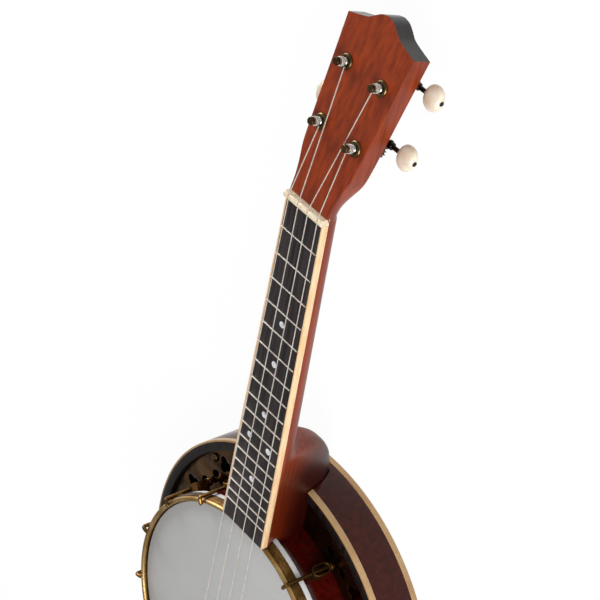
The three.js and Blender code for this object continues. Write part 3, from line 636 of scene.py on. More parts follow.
class Solid:
    """A piece in the making, drawn in millimetres. Its methods can be chained."""

    def __init__(self, name: str, mesh: bpy.types.Mesh) -> None:
        """Links an object for a mesh."""
        self.object = link(name, mesh)

    @property
    def mesh(self) -> bpy.types.Mesh:
        """The piece's mesh."""
        return self.object.data

    @classmethod
    def drawn(cls, name: str, points: Sequence[Sequence[float]], faces: Sequence[Sequence[int]],
              finish: bpy.types.Material | None = None, sharp: float = SHARP) -> Solid:
        """Makes a piece from corners and faces.

        Args:
            name: the piece's name.
            points: corners in millimetres.
            faces: corner numbers of each face.
            finish: the material, or none for a tool.
            sharp: edges that turn more than this many degrees stay sharp.

        Returns:
            The piece, with merged doubles and faces pointing out.
        """
        mesh = bpy.data.meshes.new(name)
        work = bmesh.new()
        corners = [work.verts.new(Vector(p) * MM) for p in points]
        for face in faces:
            work.faces.new([corners[i] for i in face])
        settle(work, mesh)
        if finish:
            mesh.materials.append(finish)
        return cls(name, mesh).shade(sharp)

    @classmethod
    def revolve(cls, name: str, profile: Sequence[Pair], finish: bpy.types.Material | None = None,
                faces: int = RING_FACES) -> Solid:
        """Turns a closed profile of (radius, height) pairs round the Z axis.

        Args:
            name: the piece's name.
            profile: pairs in millimetres.
            finish: the material, or none for a tool.
            faces: steps round the axis.

        Returns:
            The ring, or a round piece where the profile reaches the axis.
        """
        points = [(r * math.sin(t), r * math.cos(t), z) for t in turns(faces) for r, z in profile]
        count = len(profile)
        quads = []
        for step in range(faces):
            here, there = step * count, (step + 1) % faces * count
            for i in range(count):
                j = (i + 1) % count
                quads.append((here + i, here + j, there + j, there + i))
        return cls.drawn(name, points, quads, finish)

    @classmethod
    def bar(cls, radius: float, faces: int = RING_FACES) -> Solid:
        """A round tool along Z, long enough for any cut."""
        return cls.revolve("bar", axial([(radius, -OVERRUN), (radius, OVERRUN)]), None, faces)

    @classmethod
    def loft(cls, name: str, rings: Sequence[Sequence[Sequence[float]]],
             finish: bpy.types.Material | None = None, sharp: float = SHARP) -> Solid:
        """Skins rings of equal length and closes both ends.

        Args:
            name: the piece's name.
            rings: corners in millimetres, ring by ring.
            finish: the material, or none for a tool.
            sharp: edges that turn more than this many degrees stay sharp.

        Returns:
            The piece.
        """
        count = len(rings[0])
        last = (len(rings) - 1) * count
        faces: list[Sequence[int]] = []
        for ring in range(0, last, count):
            for i in range(count):
                a, b = ring + i, ring + (i + 1) % count
                faces.append((a, b, b + count, a + count))
        faces += [tuple(range(count)), tuple(range(last, last + count))]
        return cls.drawn(name, [p for ring in rings for p in ring], faces, finish, sharp)

    @classmethod
    def sweep(cls, name: str, path: Sequence[Vector], radius: float, finish: bpy.types.Material,
              sides: int) -> Solid:
        """Draws a round wire along a path.

        Args:
            name: the piece's name.
            path: places along the wire's axis.
            radius: the wire's radius.
            finish: the material.
            sides: faces round the wire.

        Returns:
            The wire.
        """
        rings = []
        normal = None
        for i, place in enumerate(path):
            along = (path[min(i + 1, len(path) - 1)] - path[max(i - 1, 0)]).normalized()
            if normal is None:
                normal = along.orthogonal().normalized()
            normal = (normal - along * normal.dot(along)).normalized()
            across = along.cross(normal)
            rings.append([
                place + radius * (math.cos(t) * normal + math.sin(t) * across) for t in turns(sides)])
        return cls.loft(name, rings, finish)

    @classmethod
    def slab(cls, name: str, outline: Profile, low: float, high: float,
             finish: bpy.types.Material | None = None,
             to: Callable[[float, float, float], Point] = flat) -> Solid:
        """Raises an outline between two heights.

        Args:
            name: the piece's name.
            outline: its (u, v) pairs.
            low: the first height.
            high: the second height.
            finish: the material, or none for a tool.
            to: turns u, v and a height into a place.

        Returns:
            The piece.
        """
        return cls.loft(name, [[to(u, v, h) for u, v in outline] for h in (low, high)], finish)

    @classmethod
    def box(cls, low: Point, high: Point) -> Solid:
        """A block between two corners, as a tool."""
        return cls.slab("box", rectangle(low[0], high[0], low[1], high[1]), low[2], high[2])

    @classmethod
    def merge(cls, name: str, *parts: Solid) -> Solid:
        """Joins several meshes into one piece, keeping their materials.

        Args:
            name: the new piece's name.
            parts: the pieces, which are thrown away.

        Returns:
            The new piece.
        """
        work = bmesh.new()
        slots: list[bpy.types.Material] = []
        for part in parts:
            before = len(work.faces)
            work.from_mesh(part.mesh)
            work.faces.ensure_lookup_table()
            finishes = list(part.mesh.materials)
            for face in work.faces[before:]:
                finish = finishes[face.material_index]
                if finish not in slots:
                    slots.append(finish)
                face.material_index = slots.index(finish)
            part.drop()
        mesh = bpy.data.meshes.new(name)
        work.to_mesh(mesh)
        work.free()
        for finish in slots:
            mesh.materials.append(finish)
        return cls(name, mesh)

    def drop(self) -> None:
        """Throws the piece away."""
        bpy.data.objects.remove(self.object)

    def shade(self, sharp: float = SHARP) -> Solid:
        """Shades smooth, with sharp edges past an angle in degrees.

        Args:
            sharp: the angle in degrees past which an edge stays sharp.

        Returns:
            The piece.
        """
        self.mesh.shade_smooth()
        self.mesh.set_sharp_from_angle(angle=math.radians(sharp))
        return self

    def bake(self) -> Solid:
        """Applies the piece's modifiers to its mesh."""
        depsgraph = bpy.context.evaluated_depsgraph_get()
        mesh = bpy.data.meshes.new_from_object(self.object.evaluated_get(depsgraph))
        self.object.modifiers.clear()
        self.object.data = mesh
        return self

    def cut(self, tool: Solid, operation: str = "DIFFERENCE") -> Solid:
        """Takes a tool's volume away and throws the tool away.

        Args:
            tool: the tool, whose faces take the piece's first finish if it has none.
            operation: DIFFERENCE, or UNION to add the volume.

        Returns:
            The piece.
        """
        if not tool.mesh.materials:
            tool.mesh.materials.append(self.mesh.materials[0])
        step = self.object.modifiers.new(operation, "BOOLEAN")
        step.operation, step.solver, step.object = operation, "EXACT", tool.object
        self.bake()
        tool.drop()
        return self

    def bevel(self, width: float, segments: int = 2, angle: float = 40.0) -> Solid:
        """Rounds the sharp edges.

        Args:
            width: the bevel's width.
            segments: its steps.
            angle: degrees past which an edge is rounded.

        Returns:
            The piece.
        """
        step = self.object.modifiers.new("bevel", "BEVEL")
        step.width, step.segments = width * MM, segments
        step.limit_method, step.angle_limit = "ANGLE", math.radians(angle)
        return self.bake().shade()

    def place(self, matrix: Matrix) -> Solid:
        """Moves the mesh by a matrix in millimetres and leaves its object at the origin."""
        self.mesh.transform(Matrix.Scale(MM, 4) @ matrix @ Matrix.Scale(1 / MM, 4))
        return self

    def shift(self, x: float, y: float, z: float) -> Solid:
        """Moves the mesh along the axes."""
        return self.place(Matrix.Translation((x, y, z)))

    def tip(self, axis: str, angle: float = math.pi / 2) -> Solid:
        """Turns the mesh round an axis, by a quarter turn as a rule."""
        return self.place(Matrix.Rotation(angle, 4, axis))

    def paint(self, finish: bpy.types.Material, chosen: Callable[[bpy.types.MeshPolygon], bool]) -> Solid:
        """Gives the chosen faces a second finish.

        Args:
            finish: the second finish.
            chosen: says whether a face takes it.

        Returns:
            The piece.
        """
        self.mesh.materials.append(finish)
        for face in self.mesh.polygons:
            if chosen(face):
                face.material_index = 1
        return self

    def seat(self, body: str, slot: str, *nodes: str) -> None:
        """Rides the piece on its body and lets it stand for its CAD nodes.

        Args:
            body: the body that carries it.
            slot: the CAD material slot; not used.
            nodes: the CAD nodes that it replaces, if any.
        """
        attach(self.object, body)
        if nodes:
            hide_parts(*nodes)
        LOG.info("%s: %d faces on %s", self.object.name, len(self.mesh.polygons), body)


class Copies(Graph):
    """A Geometry Nodes tree that repeats one template piece."""

    def __init__(self, name: str, *numbers: str) -> None:
        """Starts a tree with a template, a finish, a count and further named numbers.

        Args:
            name: the tree's name.
            numbers: names of the further inputs.
        """
        super().__init__(bpy.data.node_groups.new(name, "GeometryNodeTree"))
        face = self.tree.interface
        face.new_socket("Geometry", in_out="OUTPUT", socket_type="NodeSocketGeometry")
        kinds = {"Geometry": "Geometry", "Template": "Object", "Finish": "Material", "Count": "Int"}
        for key, kind in (kinds | dict.fromkeys(numbers, "Float")).items():
            face.new_socket(key, in_out="INPUT", socket_type=f"NodeSocket{kind}")
        self.given = self.node("NodeGroupInput").outputs
        self.index = self.number("GeometryNodeInputIndex")

    def value(self, name: str) -> Expr:
        """A named input as a number."""
        return Expr(self, self.given[name])

    def vector(self, x: object, y: object, z: object) -> bpy.types.NodeSocket:
        """Three numbers as a vector."""
        return self.node("ShaderNodeCombineXYZ", {0: x, 1: y, 2: z}).outputs[0]

    def set_out(self, place: object, turn: object, scale: object) -> None:
        """Ends the tree: a copy on each point, made real, with the finish.

        Args:
            place: where each copy goes.
            turn: its rotation.
            scale: its scale.
        """
        line = self.node("GeometryNodeMeshLine", {"Count": self.given["Count"], "Offset": (0, 0, 0)})
        moved = self.node("GeometryNodeSetPosition", {"Geometry": line.outputs[0], "Position": place})
        source = self.node("GeometryNodeObjectInfo", {"Object": self.given["Template"]})
        many = self.node("GeometryNodeInstanceOnPoints", {
            "Points": moved.outputs[0], "Instance": source.outputs["Geometry"],
            "Rotation": turn, "Scale": scale})
        real = self.node("GeometryNodeRealizeInstances", {0: many.outputs[0]})
        done = self.node(
            "GeometryNodeSetMaterial", {"Geometry": real.outputs[0], "Material": self.given["Finish"]})
        self.node("NodeGroupOutput", {0: done.outputs[0]})

    def run(self, name: str, template: Solid, **values: object) -> Solid:
        """Repeats a template and returns the copies as one plain piece.

        Args:
            name: the new piece's name.
            template: the piece to repeat, which is thrown away.
            values: the tree's other inputs, with underscores for spaces.

        Returns:
            The copies, with no modifier left.
        """
        made = Solid(name, bpy.data.meshes.new(name))
        step = made.object.modifiers.new("copies", "NODES")
        step.node_group = self.tree
        inputs = {"Template": template.object, "Finish": template.mesh.materials[0], **values}
        for item in self.tree.interface.items_tree:
            if item.in_out == "INPUT" and item.name.replace(" ", "_") in inputs:
                step[item.identifier] = inputs[item.name.replace(" ", "_")]
        made.bake()
        template.drop()
        return made.shade()


class RoundCopies(Copies):
    """Copies set round the Z axis at equal angles."""

    def __init__(self) -> None:
        """Builds the tree."""
        super().__init__("round copies", "First Angle", "Step Angle")
        angle = self.value("First Angle") + self.index * self.value("Step Angle")
        self.set_out((0, 0, 0), self.vector(0.0, 0.0, 0.0 - angle), (1, 1, 1))


class FretCopies(Copies):
    """Frets at equal-tempered places, each as wide as the board there."""

    def __init__(self) -> None:
        """Builds the tree."""
        super().__init__("fret copies", "Scale Length", "Nut Place", "Height", "Nut Half Width", "Flare")
        back = self.value("Scale Length") * (1 - 2 ** (0.0 - (self.index + 1) / 12))
        half = self.value("Nut Half Width") + back * self.value("Flare")
        place = self.vector(0.0, self.value("Nut Place") - back, self.value("Height"))
        self.set_out(place, (0, 0, 0), self.vector(half, 1.0, 1.0))


@dataclass
class Assembly:
    """What every sub-assembly is given."""

    finishes: Palette
    plan: Plan = Plan()

    def at_hooks(self, name: str, template: Solid) -> Solid:
        """Copies of a piece at every hook's angle.

        Args:
            name: the name of the copies' piece.
            template: the piece to repeat, at the pot's front.

        Returns:
            All copies as one piece.
        """
        plan = self.plan
        return RoundCopies().run(
            name, template, Count=plan.hook_count, First_Angle=plan.hook_neck_angle,
            Step_Angle=plan.hook_step)

    def slotted(self, made: Solid, spacing: float, width: float, place: Pair,
                reach: float = OVERRUN) -> Solid:
        """Cuts a slot along Y for each string.

        Args:
            made: the piece to cut.
            spacing: distance between strings.
            width: a slot's width.
            place: the slots' middle along Y and the height of their floor.
            reach: half the slots' length.

        Returns:
            The piece.
        """
        y, floor = place
        for share in self.plan.string_places:
            x = share * spacing
            made.cut(Solid.box((x - width / 2, y - reach, floor), (x + width / 2, y + reach, OVERRUN)))
        return made


@dataclass
class Neck(Assembly):
    """The neck, its heel and the tilted headstock, in one piece."""

    heel_front: float = 180.0
    heel_back: float = 126.0
    heel_bottom: float = 10.7
    depth_at_nut: float = 13.4
    depth_at_heel: float = 16.0
    overlap: float = 6.0
    notch_overlap: float = 4.0
    fullness: float = 2.3
    squareness: float = 1.6
    half_width: float = 30.3
    corner: float = 114.5
    peak: float = 127.0
    spare: float = 3.0
    shoulder: Pair = (3.0, 26.0)
    volute: float = 2.8
    head_edge: float = 0.45
    end_depth: float = 0.2
    end_slope: float = 0.5
    heel_run: tuple[float, ...] = (0, 0.06, 0.1, 0.14, 0.23, 0.39, 0.58, 0.8, 1)
    heel_drop: tuple[float, ...] = (0, 0.1, 0.25, 0.42, 0.62, 0.8, 0.92, 0.98, 1)
    heel_across: tuple[float, ...] = (1, 0.93, 0.82, 0.74, 0.62, 0.44, 0.15, 0)
    heel_down: tuple[float, ...] = (0, 0.05, 0.14, 0.33, 0.58, 0.83, 1, 1.0)
    edge_width: tuple[float, ...] = (0.6, 0.61, 0.66, 0.77, 0.825, 0.925, 1)
    edge_height: tuple[float, ...] = (0, 0.06, 0.15, 0.27, 0.42, 0.76, 1)
    scoop_width: tuple[float, ...] = (1, 0.84, 0.6, 0.45, 0.3, 0.15, 0.02)
    scoop_rise: tuple[float, ...] = (0, 0.11, 0.28, 0.42, 0.7, 0.93, 1)

    def section(self, half: float, depth: float, heel: float = 0.0, square: float = 0.0,
                edge: float = 0.5) -> Profile:
        """One section as (across, down from the top) pairs, the flat top first.

        Args:
            half: half the section's width.
            depth: its depth.
            heel: share of the heel's form, from 0 to 1.
            square: share of the headstock's flat-sided form, from 0 to 1.
            edge: the eased top edge.

        Returns:
            A closed ring of pairs.
        """
        angle = np.linspace(0, math.pi, 49)
        cosine, sine = np.abs(np.cos(angle)), np.sin(angle)
        across, down = cosine ** (2 / self.fullness), np.abs(sine) ** (2 / self.fullness)
        places = np.linspace(0, 1, len(self.heel_across))
        share = 1 - np.abs(1 - 2 * angle / math.pi)
        across = blend(across, eased(places, self.heel_across, share), heel)
        down = blend(down, eased(places, self.heel_down, share), heel)
        across = blend(across, np.clip(self.squareness * cosine, 0, 1), square)
        down = blend(down, np.clip(self.squareness * sine, 0, 1), square)
        below = list(zip(np.sign(np.cos(angle)) * across * half, edge + down * (depth - edge)))
        top = [(half - 2 * edge, 0.0), (half - edge, 0.0), (half - edge * 0.3, edge * 0.3)]
        return top + below + [(-x, y) for x, y in reversed(top)]

    def heel_opening(self, grow: float) -> Solid:
        """The heel's section drawn out along Y, as the tool for the resonator's notch.

        Args:
            grow: how much wider and deeper than the heel.

        Returns:
            The tool.
        """
        plan = self.plan
        half = plan.board_half(plan.pot_radius) + plan.board_binding + grow
        section = self.section(half, plan.neck_top - self.heel_bottom + grow, 1.0)
        return Solid.slab(
            "heel opening", section, plan.pot_radius - self.notch_overlap,
            plan.resonator_radius + self.notch_overlap, self.finishes.black,
            lambda u, v, h: (u, h, plan.neck_top - v))

    def neck_rings(self) -> list[list[Point]]:
        """Sections from the pot to the nut."""
        plan = self.plan
        heel_depth = plan.neck_top - self.heel_bottom
        stations = [(plan.pot_radius - self.overlap, heel_depth, 1.0)]
        runs = np.concatenate([np.linspace(0, 0.3, 34), np.linspace(0.33, 1, 26)])[::-1]
        for run, drop in zip(runs, eased(self.heel_run, self.heel_drop, runs)):
            y = blend(self.heel_front, self.heel_back, run)
            stations.append((y, blend(self.depth_at_heel, heel_depth, drop), drop))
        for share in np.linspace(0.05, 1, 20):
            y = blend(self.heel_front, plan.nut_y, share)
            stations.append((y, blend(self.depth_at_heel, self.depth_at_nut, share), 0.0))
        return [
            [(u, y, plan.neck_top - v)
             for u, v in self.section(plan.board_half(y) + plan.board_binding, depth, heel)]
            for y, depth, heel in stations]

    def head_rings(self) -> list[list[Point]]:
        """Sections across the headstock, from the nut to past its central peak."""
        plan = self.plan
        heights = np.linspace(0.004, 1, 44)
        widths = eased(self.edge_height, self.edge_width, heights)
        stations = [(h * self.corner, w * self.half_width) for h, w in zip(heights, widths)]
        stations.append((self.peak + self.spare, self.half_width))
        low, high = self.shoulder
        rings = []
        for y, half in stations:
            share = min(1.0, max(0.0, (y - low) / (high - low)))
            square = share * share * (3 - 2 * share)
            depth = plan.head_thick + self.volute * (1 - square)
            section = self.section(half, depth, 0.0, square, self.head_edge)
            rings.append([tuple(plan.headstock @ Vector((u, y, -v))) for u, v in section])
        return rings

    def end_cut(self) -> Solid:
        """Everything past the headstock's scooped end, as a tool."""
        rises = np.linspace(0, 1, 30)
        tips = eased(self.scoop_rise, self.scoop_width, rises)
        curve = [(w * self.half_width, blend(self.corner, self.peak, r)) for r, w in zip(rises, tips)]
        outline = [(-OVERRUN, self.corner)] + [(-x, y) for x, y in curve] + curve[::-1]
        outline += [(OVERRUN, self.corner), (OVERRUN, OVERRUN), (-OVERRUN, OVERRUN)]
        return Solid.slab("end cut", outline, -OVERRUN, OVERRUN).place(self.plan.headstock)

    def build(self) -> None:
        """Makes the neck, seats it on the pot and blackens the headstock's end."""
        plan = self.plan
        low = plan.head_surface - plan.flesh_drop - plan.clearance
        made = Solid.loft("neck_wood", self.neck_rings() + self.head_rings(), self.finishes.neck, 40)
        made.cut(Solid.bar(plan.pot_radius + plan.clearance))
        made.cut(Solid.box((-OVERRUN, 0, low), (OVERRUN, plan.board_end, OVERRUN)))
        made.cut(self.end_cut())
        for tuner in Tuner:
            made.cut(Solid.bar(plan.sleeve_radius + plan.clearance, 32).place(plan.post_frame(tuner)))
        inverse = plan.headstock.inverted()

        def at_end(face: bpy.types.MeshPolygon) -> bool:
            """Whether a face belongs to the headstock's end."""
            past = (inverse @ (face.center / MM)).y > self.corner - self.end_depth
            return past and abs((inverse.to_3x3() @ face.normal).z) < self.end_slope

        made.paint(self.finishes.neck_end, at_end).shade(40).seat("body", "neck_wood", "neck")


@dataclass
class Fretboard(Assembly):
    """Board, bindings, frets, dots and nut."""

    board_edge: float = 0.15
    binding_edge: float = 0.3
    fret_half: float = 0.5
    fret_height: float = 0.95
    fret_sink: float = 0.4
    fret_side: float = 0.25
    dot_radius: float = 2.3
    dot_sink: float = 0.6
    dot_rise: float = 0.08
    dot_edge: float = 0.1
    dot_frets: tuple[int, ...] = (5, 7, 10, 15)
    pair_fret: int = 12
    pair_offset: float = 9.9
    nut_rise: float = 2.6
    nut_edge: float = 0.35
    slot_width: float = 1.1

    def build(self) -> None:
        """Makes every piece of the fretboard."""
        plan, finishes = self.plan, self.finishes
        board = self.strip(
            "fretboard_wood", lambda y: -plan.board_half(y), plan.board_half, finishes.rosewood,
            self.board_edge)
        whole = Solid.merge("fretboard_with_frets", board, self.frets())
        whole.seat("body", "rosewood", "fretboard")
        for side, word in ((1, "treble"), (-1, "bass")):
            self.strip(
                f"board_binding_{word}",
                lambda y: side * (plan.board_half(y) + plan.glue),
                lambda y: side * (plan.board_half(y) + plan.board_binding),
                finishes.board_binding, self.binding_edge,
            ).seat("body", "cream_binding", f"fretboard_binding_{word}")
        self.dots().seat("body", "bone")
        self.nut().seat("body", "bone", "nut")

    def strip(self, name: str, inner: Callable[[float], float], outer: Callable[[float], float],
              finish: bpy.types.Material, edge: float) -> Solid:
        """A long strip of the board, from the hoop to the nut.

        Args:
            name: the piece's name.
            inner: one side's place across, by the place along the neck.
            outer: the other side's.
            finish: the material.
            edge: the bevel's width.

        Returns:
            The strip.
        """
        plan = self.plan
        end, start = plan.board_end, plan.nut_y - plan.glue
        outline = [(inner(end), end), (outer(end), end), (outer(start), start), (inner(start), start)]
        return Solid.slab(name, outline, plan.neck_top, plan.board_top, finish).bevel(edge)

    def frets(self) -> Solid:
        """Eighteen frets by Geometry Nodes, from a template whose half length is one metre."""
        plan = self.plan
        crown = arc((0, self.fret_side), (self.fret_half, self.fret_height - self.fret_side), math.pi, 0, 8)
        outline = [(-self.fret_half, -self.fret_sink), *crown, (self.fret_half, -self.fret_sink)]
        template = Solid.slab("fret", outline, -1 / MM, 1 / MM, self.finishes.fret, upright)
        return FretCopies().run(
            "frets", template, Count=plan.frets, Scale_Length=plan.scale * MM,
            Nut_Place=plan.nut_y * MM, Height=plan.board_top * MM,
            Nut_Half_Width=(plan.board_nut_half - plan.glue) * MM, Flare=plan.flare)

    def dots(self) -> Solid:
        """Pearl dots, a hair proud of the board."""
        plan = self.plan
        places = [(0.0, fret) for fret in self.dot_frets]
        places += [(side * self.pair_offset, self.pair_fret) for side in (-1, 1)]
        profile = axial([(self.dot_radius, -self.dot_sink), (self.dot_radius, self.dot_rise)])
        return Solid.merge("position_dots", *[
            Solid.revolve("dot", rounded(profile, self.dot_edge), self.finishes.pearl, 32).shift(
                x, (plan.fret_y(fret) + plan.fret_y(fret - 1)) / 2, plan.board_top)
            for x, fret in places])

    def nut(self) -> Solid:
        """The rounded nut with its four string slots."""
        plan = self.plan
        depth = plan.nut_length - plan.clearance
        half = plan.board_nut_half + plan.board_binding
        outline = [(0.0, plan.neck_top), (depth, plan.neck_top)]
        outline += arc(
            (depth / 2, plan.board_top + self.nut_rise - depth / 2), (depth / 2, depth / 2), 0, math.pi, 12)
        made = Solid.slab(
            "nut_bone", outline, -half, half, self.finishes.bone, lambda u, v, h: (h, plan.nut_y + u, v))
        floor = plan.board_top + plan.nut_action - plan.string_drop
        self.slotted(made, plan.nut_spacing, self.slot_width, (plan.nut_y, floor))
        return made.bevel(self.nut_edge, 3)


@dataclass
class Pot(Assembly):
    """Rim, shoes, head, tension hoop and bracket hooks."""

    rim_low: float = 9.3
    rim_edge: float = 1.0
    shoe_low: float = 38.3
    shoe_height: float = 15.0
    shoe_half: float = 4.3
    shoe_foot: tuple[Pair, ...] = ((-1, -0.4), (1.2, -0.4))
    shoe_dome: tuple[Pair, ...] = (
        (-3, 0), (2.3, 0), (2.8, -0.2), (3, -0.6), (2.9, -1), (2.4, -1.3), (-2.2, -1.5))
    head_thickness: float = 0.6
    skirt: float = 0.5
    skirt_lift: float = 1.0
    skirt_round: float = 0.15
    collar_gap: float = 0.02
    collar_height: float = 4.2
    collar_radius: float = 101.0
    collar_edge: float = 0.5
    hoop_edge: float = 0.3
    hoop_groove: tuple[Pair, ...] = ((0, -0.9), (-0.2, -0.6), (-0.7, -0.4))
    bead_height: float = 2.1
    bead_inset: float = 0.4
    claw_tip: tuple[Pair, ...] = ((0.2, -0.5), (0.9, -0.1), (1.8, 0))
    bend: float = 1.6
    shank_stops: Pair = (66.0, 52.0)
    nut_low: float = 34.4
    nut_radius: float = 3.2
    nut_height: float = 3.6
    nut_foot: tuple[Pair, ...] = ((-0.7, 0.4), (0, 1.0))
    nut_edge: float = 0.4

    def build(self) -> None:
        """Makes every piece of the pot."""
        self.rim()
        self.head()
        self.hoop()
        self.hooks()

    def rim(self) -> None:
        """The wooden rim with its thirteen brass shoes."""
        plan = self.plan
        top = plan.head_surface - self.head_thickness - plan.clearance
        profile = rectangle(plan.pot_radius - plan.pot_wall, plan.pot_radius, self.rim_low, top)
        wood = Solid.revolve("rim wood", rounded(profile, self.rim_edge), self.finishes.pot)
        made = Solid.merge("pot_rim_and_shoes", wood, self.at_hooks("shoes", self.shoe()))
        made.seat("body", "red_wood", "pot_rim")

    def shoe(self) -> Solid:
        """One shoe: a stadium with a raised ring, on a short foot, bored for the hook."""
        plan = self.plan
        straight = self.shoe_height / 2 - self.shoe_half
        middle = self.shoe_low + self.shoe_height / 2
        stations = [(plan.pot_radius + reach, grow) for reach, grow in self.shoe_foot]
        stations += [(plan.hook_axis + reach, grow) for reach, grow in self.shoe_dome]
        rings = []
        for reach, grow in stations:
            half = self.shoe_half + grow
            rings.append([
                (half * math.cos(t), reach,
                 middle + math.copysign(straight, math.sin(t)) + half * math.sin(t))
                for t in turns(32, 0.5)])
        bore = Solid.bar(plan.hook_wire + plan.clearance, 20).shift(0, plan.hook_axis, 0)
        return Solid.loft("shoe", rings, self.finishes.brass, 50).cut(bore)

    def head(self) -> None:
        """The coated film over its pale collar."""
        top = self.plan.head_surface
        low = top - self.plan.flesh_drop
        inner = self.plan.pot_radius + self.plan.clearance
        outer = inner + self.skirt
        film = Solid.revolve("film", axial([
            (inner, top - self.head_thickness), (inner, low + self.skirt_lift),
            (outer, low + self.skirt_lift), (outer, top - self.skirt),
            (outer - self.skirt_round, top - self.skirt_round), (inner, top)]), self.finishes.film)
        profile = rectangle(outer + self.collar_gap, self.collar_radius, low, low + self.collar_height)
        collar = Solid.revolve("collar", rounded(profile, self.collar_edge), self.finishes.collar)
        Solid.merge("head_and_collar", film, collar).seat("body", "film", "drum_head")

    def hoop(self) -> None:
        """The tension hoop: a flat band with a bead on its top edge, whose lighter brass is a painted
        highlight.
        """
        plan, edge = self.plan, self.hoop_edge
        inner, outer = plan.hoop_inner, plan.hoop_outer
        low = plan.head_surface - plan.flesh_drop + self.collar_height + plan.clearance
        neck = plan.hoop_top - self.bead_height
        middle = (inner + outer - self.bead_inset) / 2
        profile = [(inner + edge, low), (outer - edge, low), (outer, low + edge)]
        profile += [(outer + x, neck + z) for x, z in self.hoop_groove]
        profile += arc((middle, neck), (outer - self.bead_inset - middle, self.bead_height), 0, math.pi, 14)
        made = Solid.revolve("hoop_brass", profile + [(inner, low + edge)], self.finishes.brass)
        # painted highlight: the bead's top faces take the lighter brass
        made.paint(self.finishes.bead_highlight, lambda face: face.center.z > (neck - edge) * MM)
        made.seat("body", "aged_brass", "tension_hoop")

    def hooks(self) -> None:
        """The bracket hooks with their round nuts."""
        plan = self.plan
        height = plan.hoop_top + plan.clearance + plan.hook_wire
        tip, axis, low = plan.hoop_inner + plan.clearance, plan.hook_axis, self.nut_low
        route = [(tip + y, height + z) for y, z in self.claw_tip]
        route += arc((axis - self.bend, height - self.bend), (self.bend, self.bend), math.pi / 2, 0, 7)
        route += [(axis, z) for z in (*self.shank_stops, low + plan.clearance, low)]
        path = [Vector((0, y, z)) for y, z in route]
        wire = Solid.sweep("wire", path, plan.hook_wire, self.finishes.brass, 16)
        profile = [(self.nut_radius + r, low + z) for r, z in self.nut_foot]
        profile = axial(profile + [(self.nut_radius, low + self.nut_height)])
        nut = Solid.revolve("nut", rounded(profile, self.nut_edge), self.finishes.brass, 28)
        made = self.at_hooks("hooks_brass", Solid.merge("hook", wire, nut.shift(0, axis, 0)))
        made.seat("body", "aged_brass", *numbered("bracket_hook", plan.hook_count))


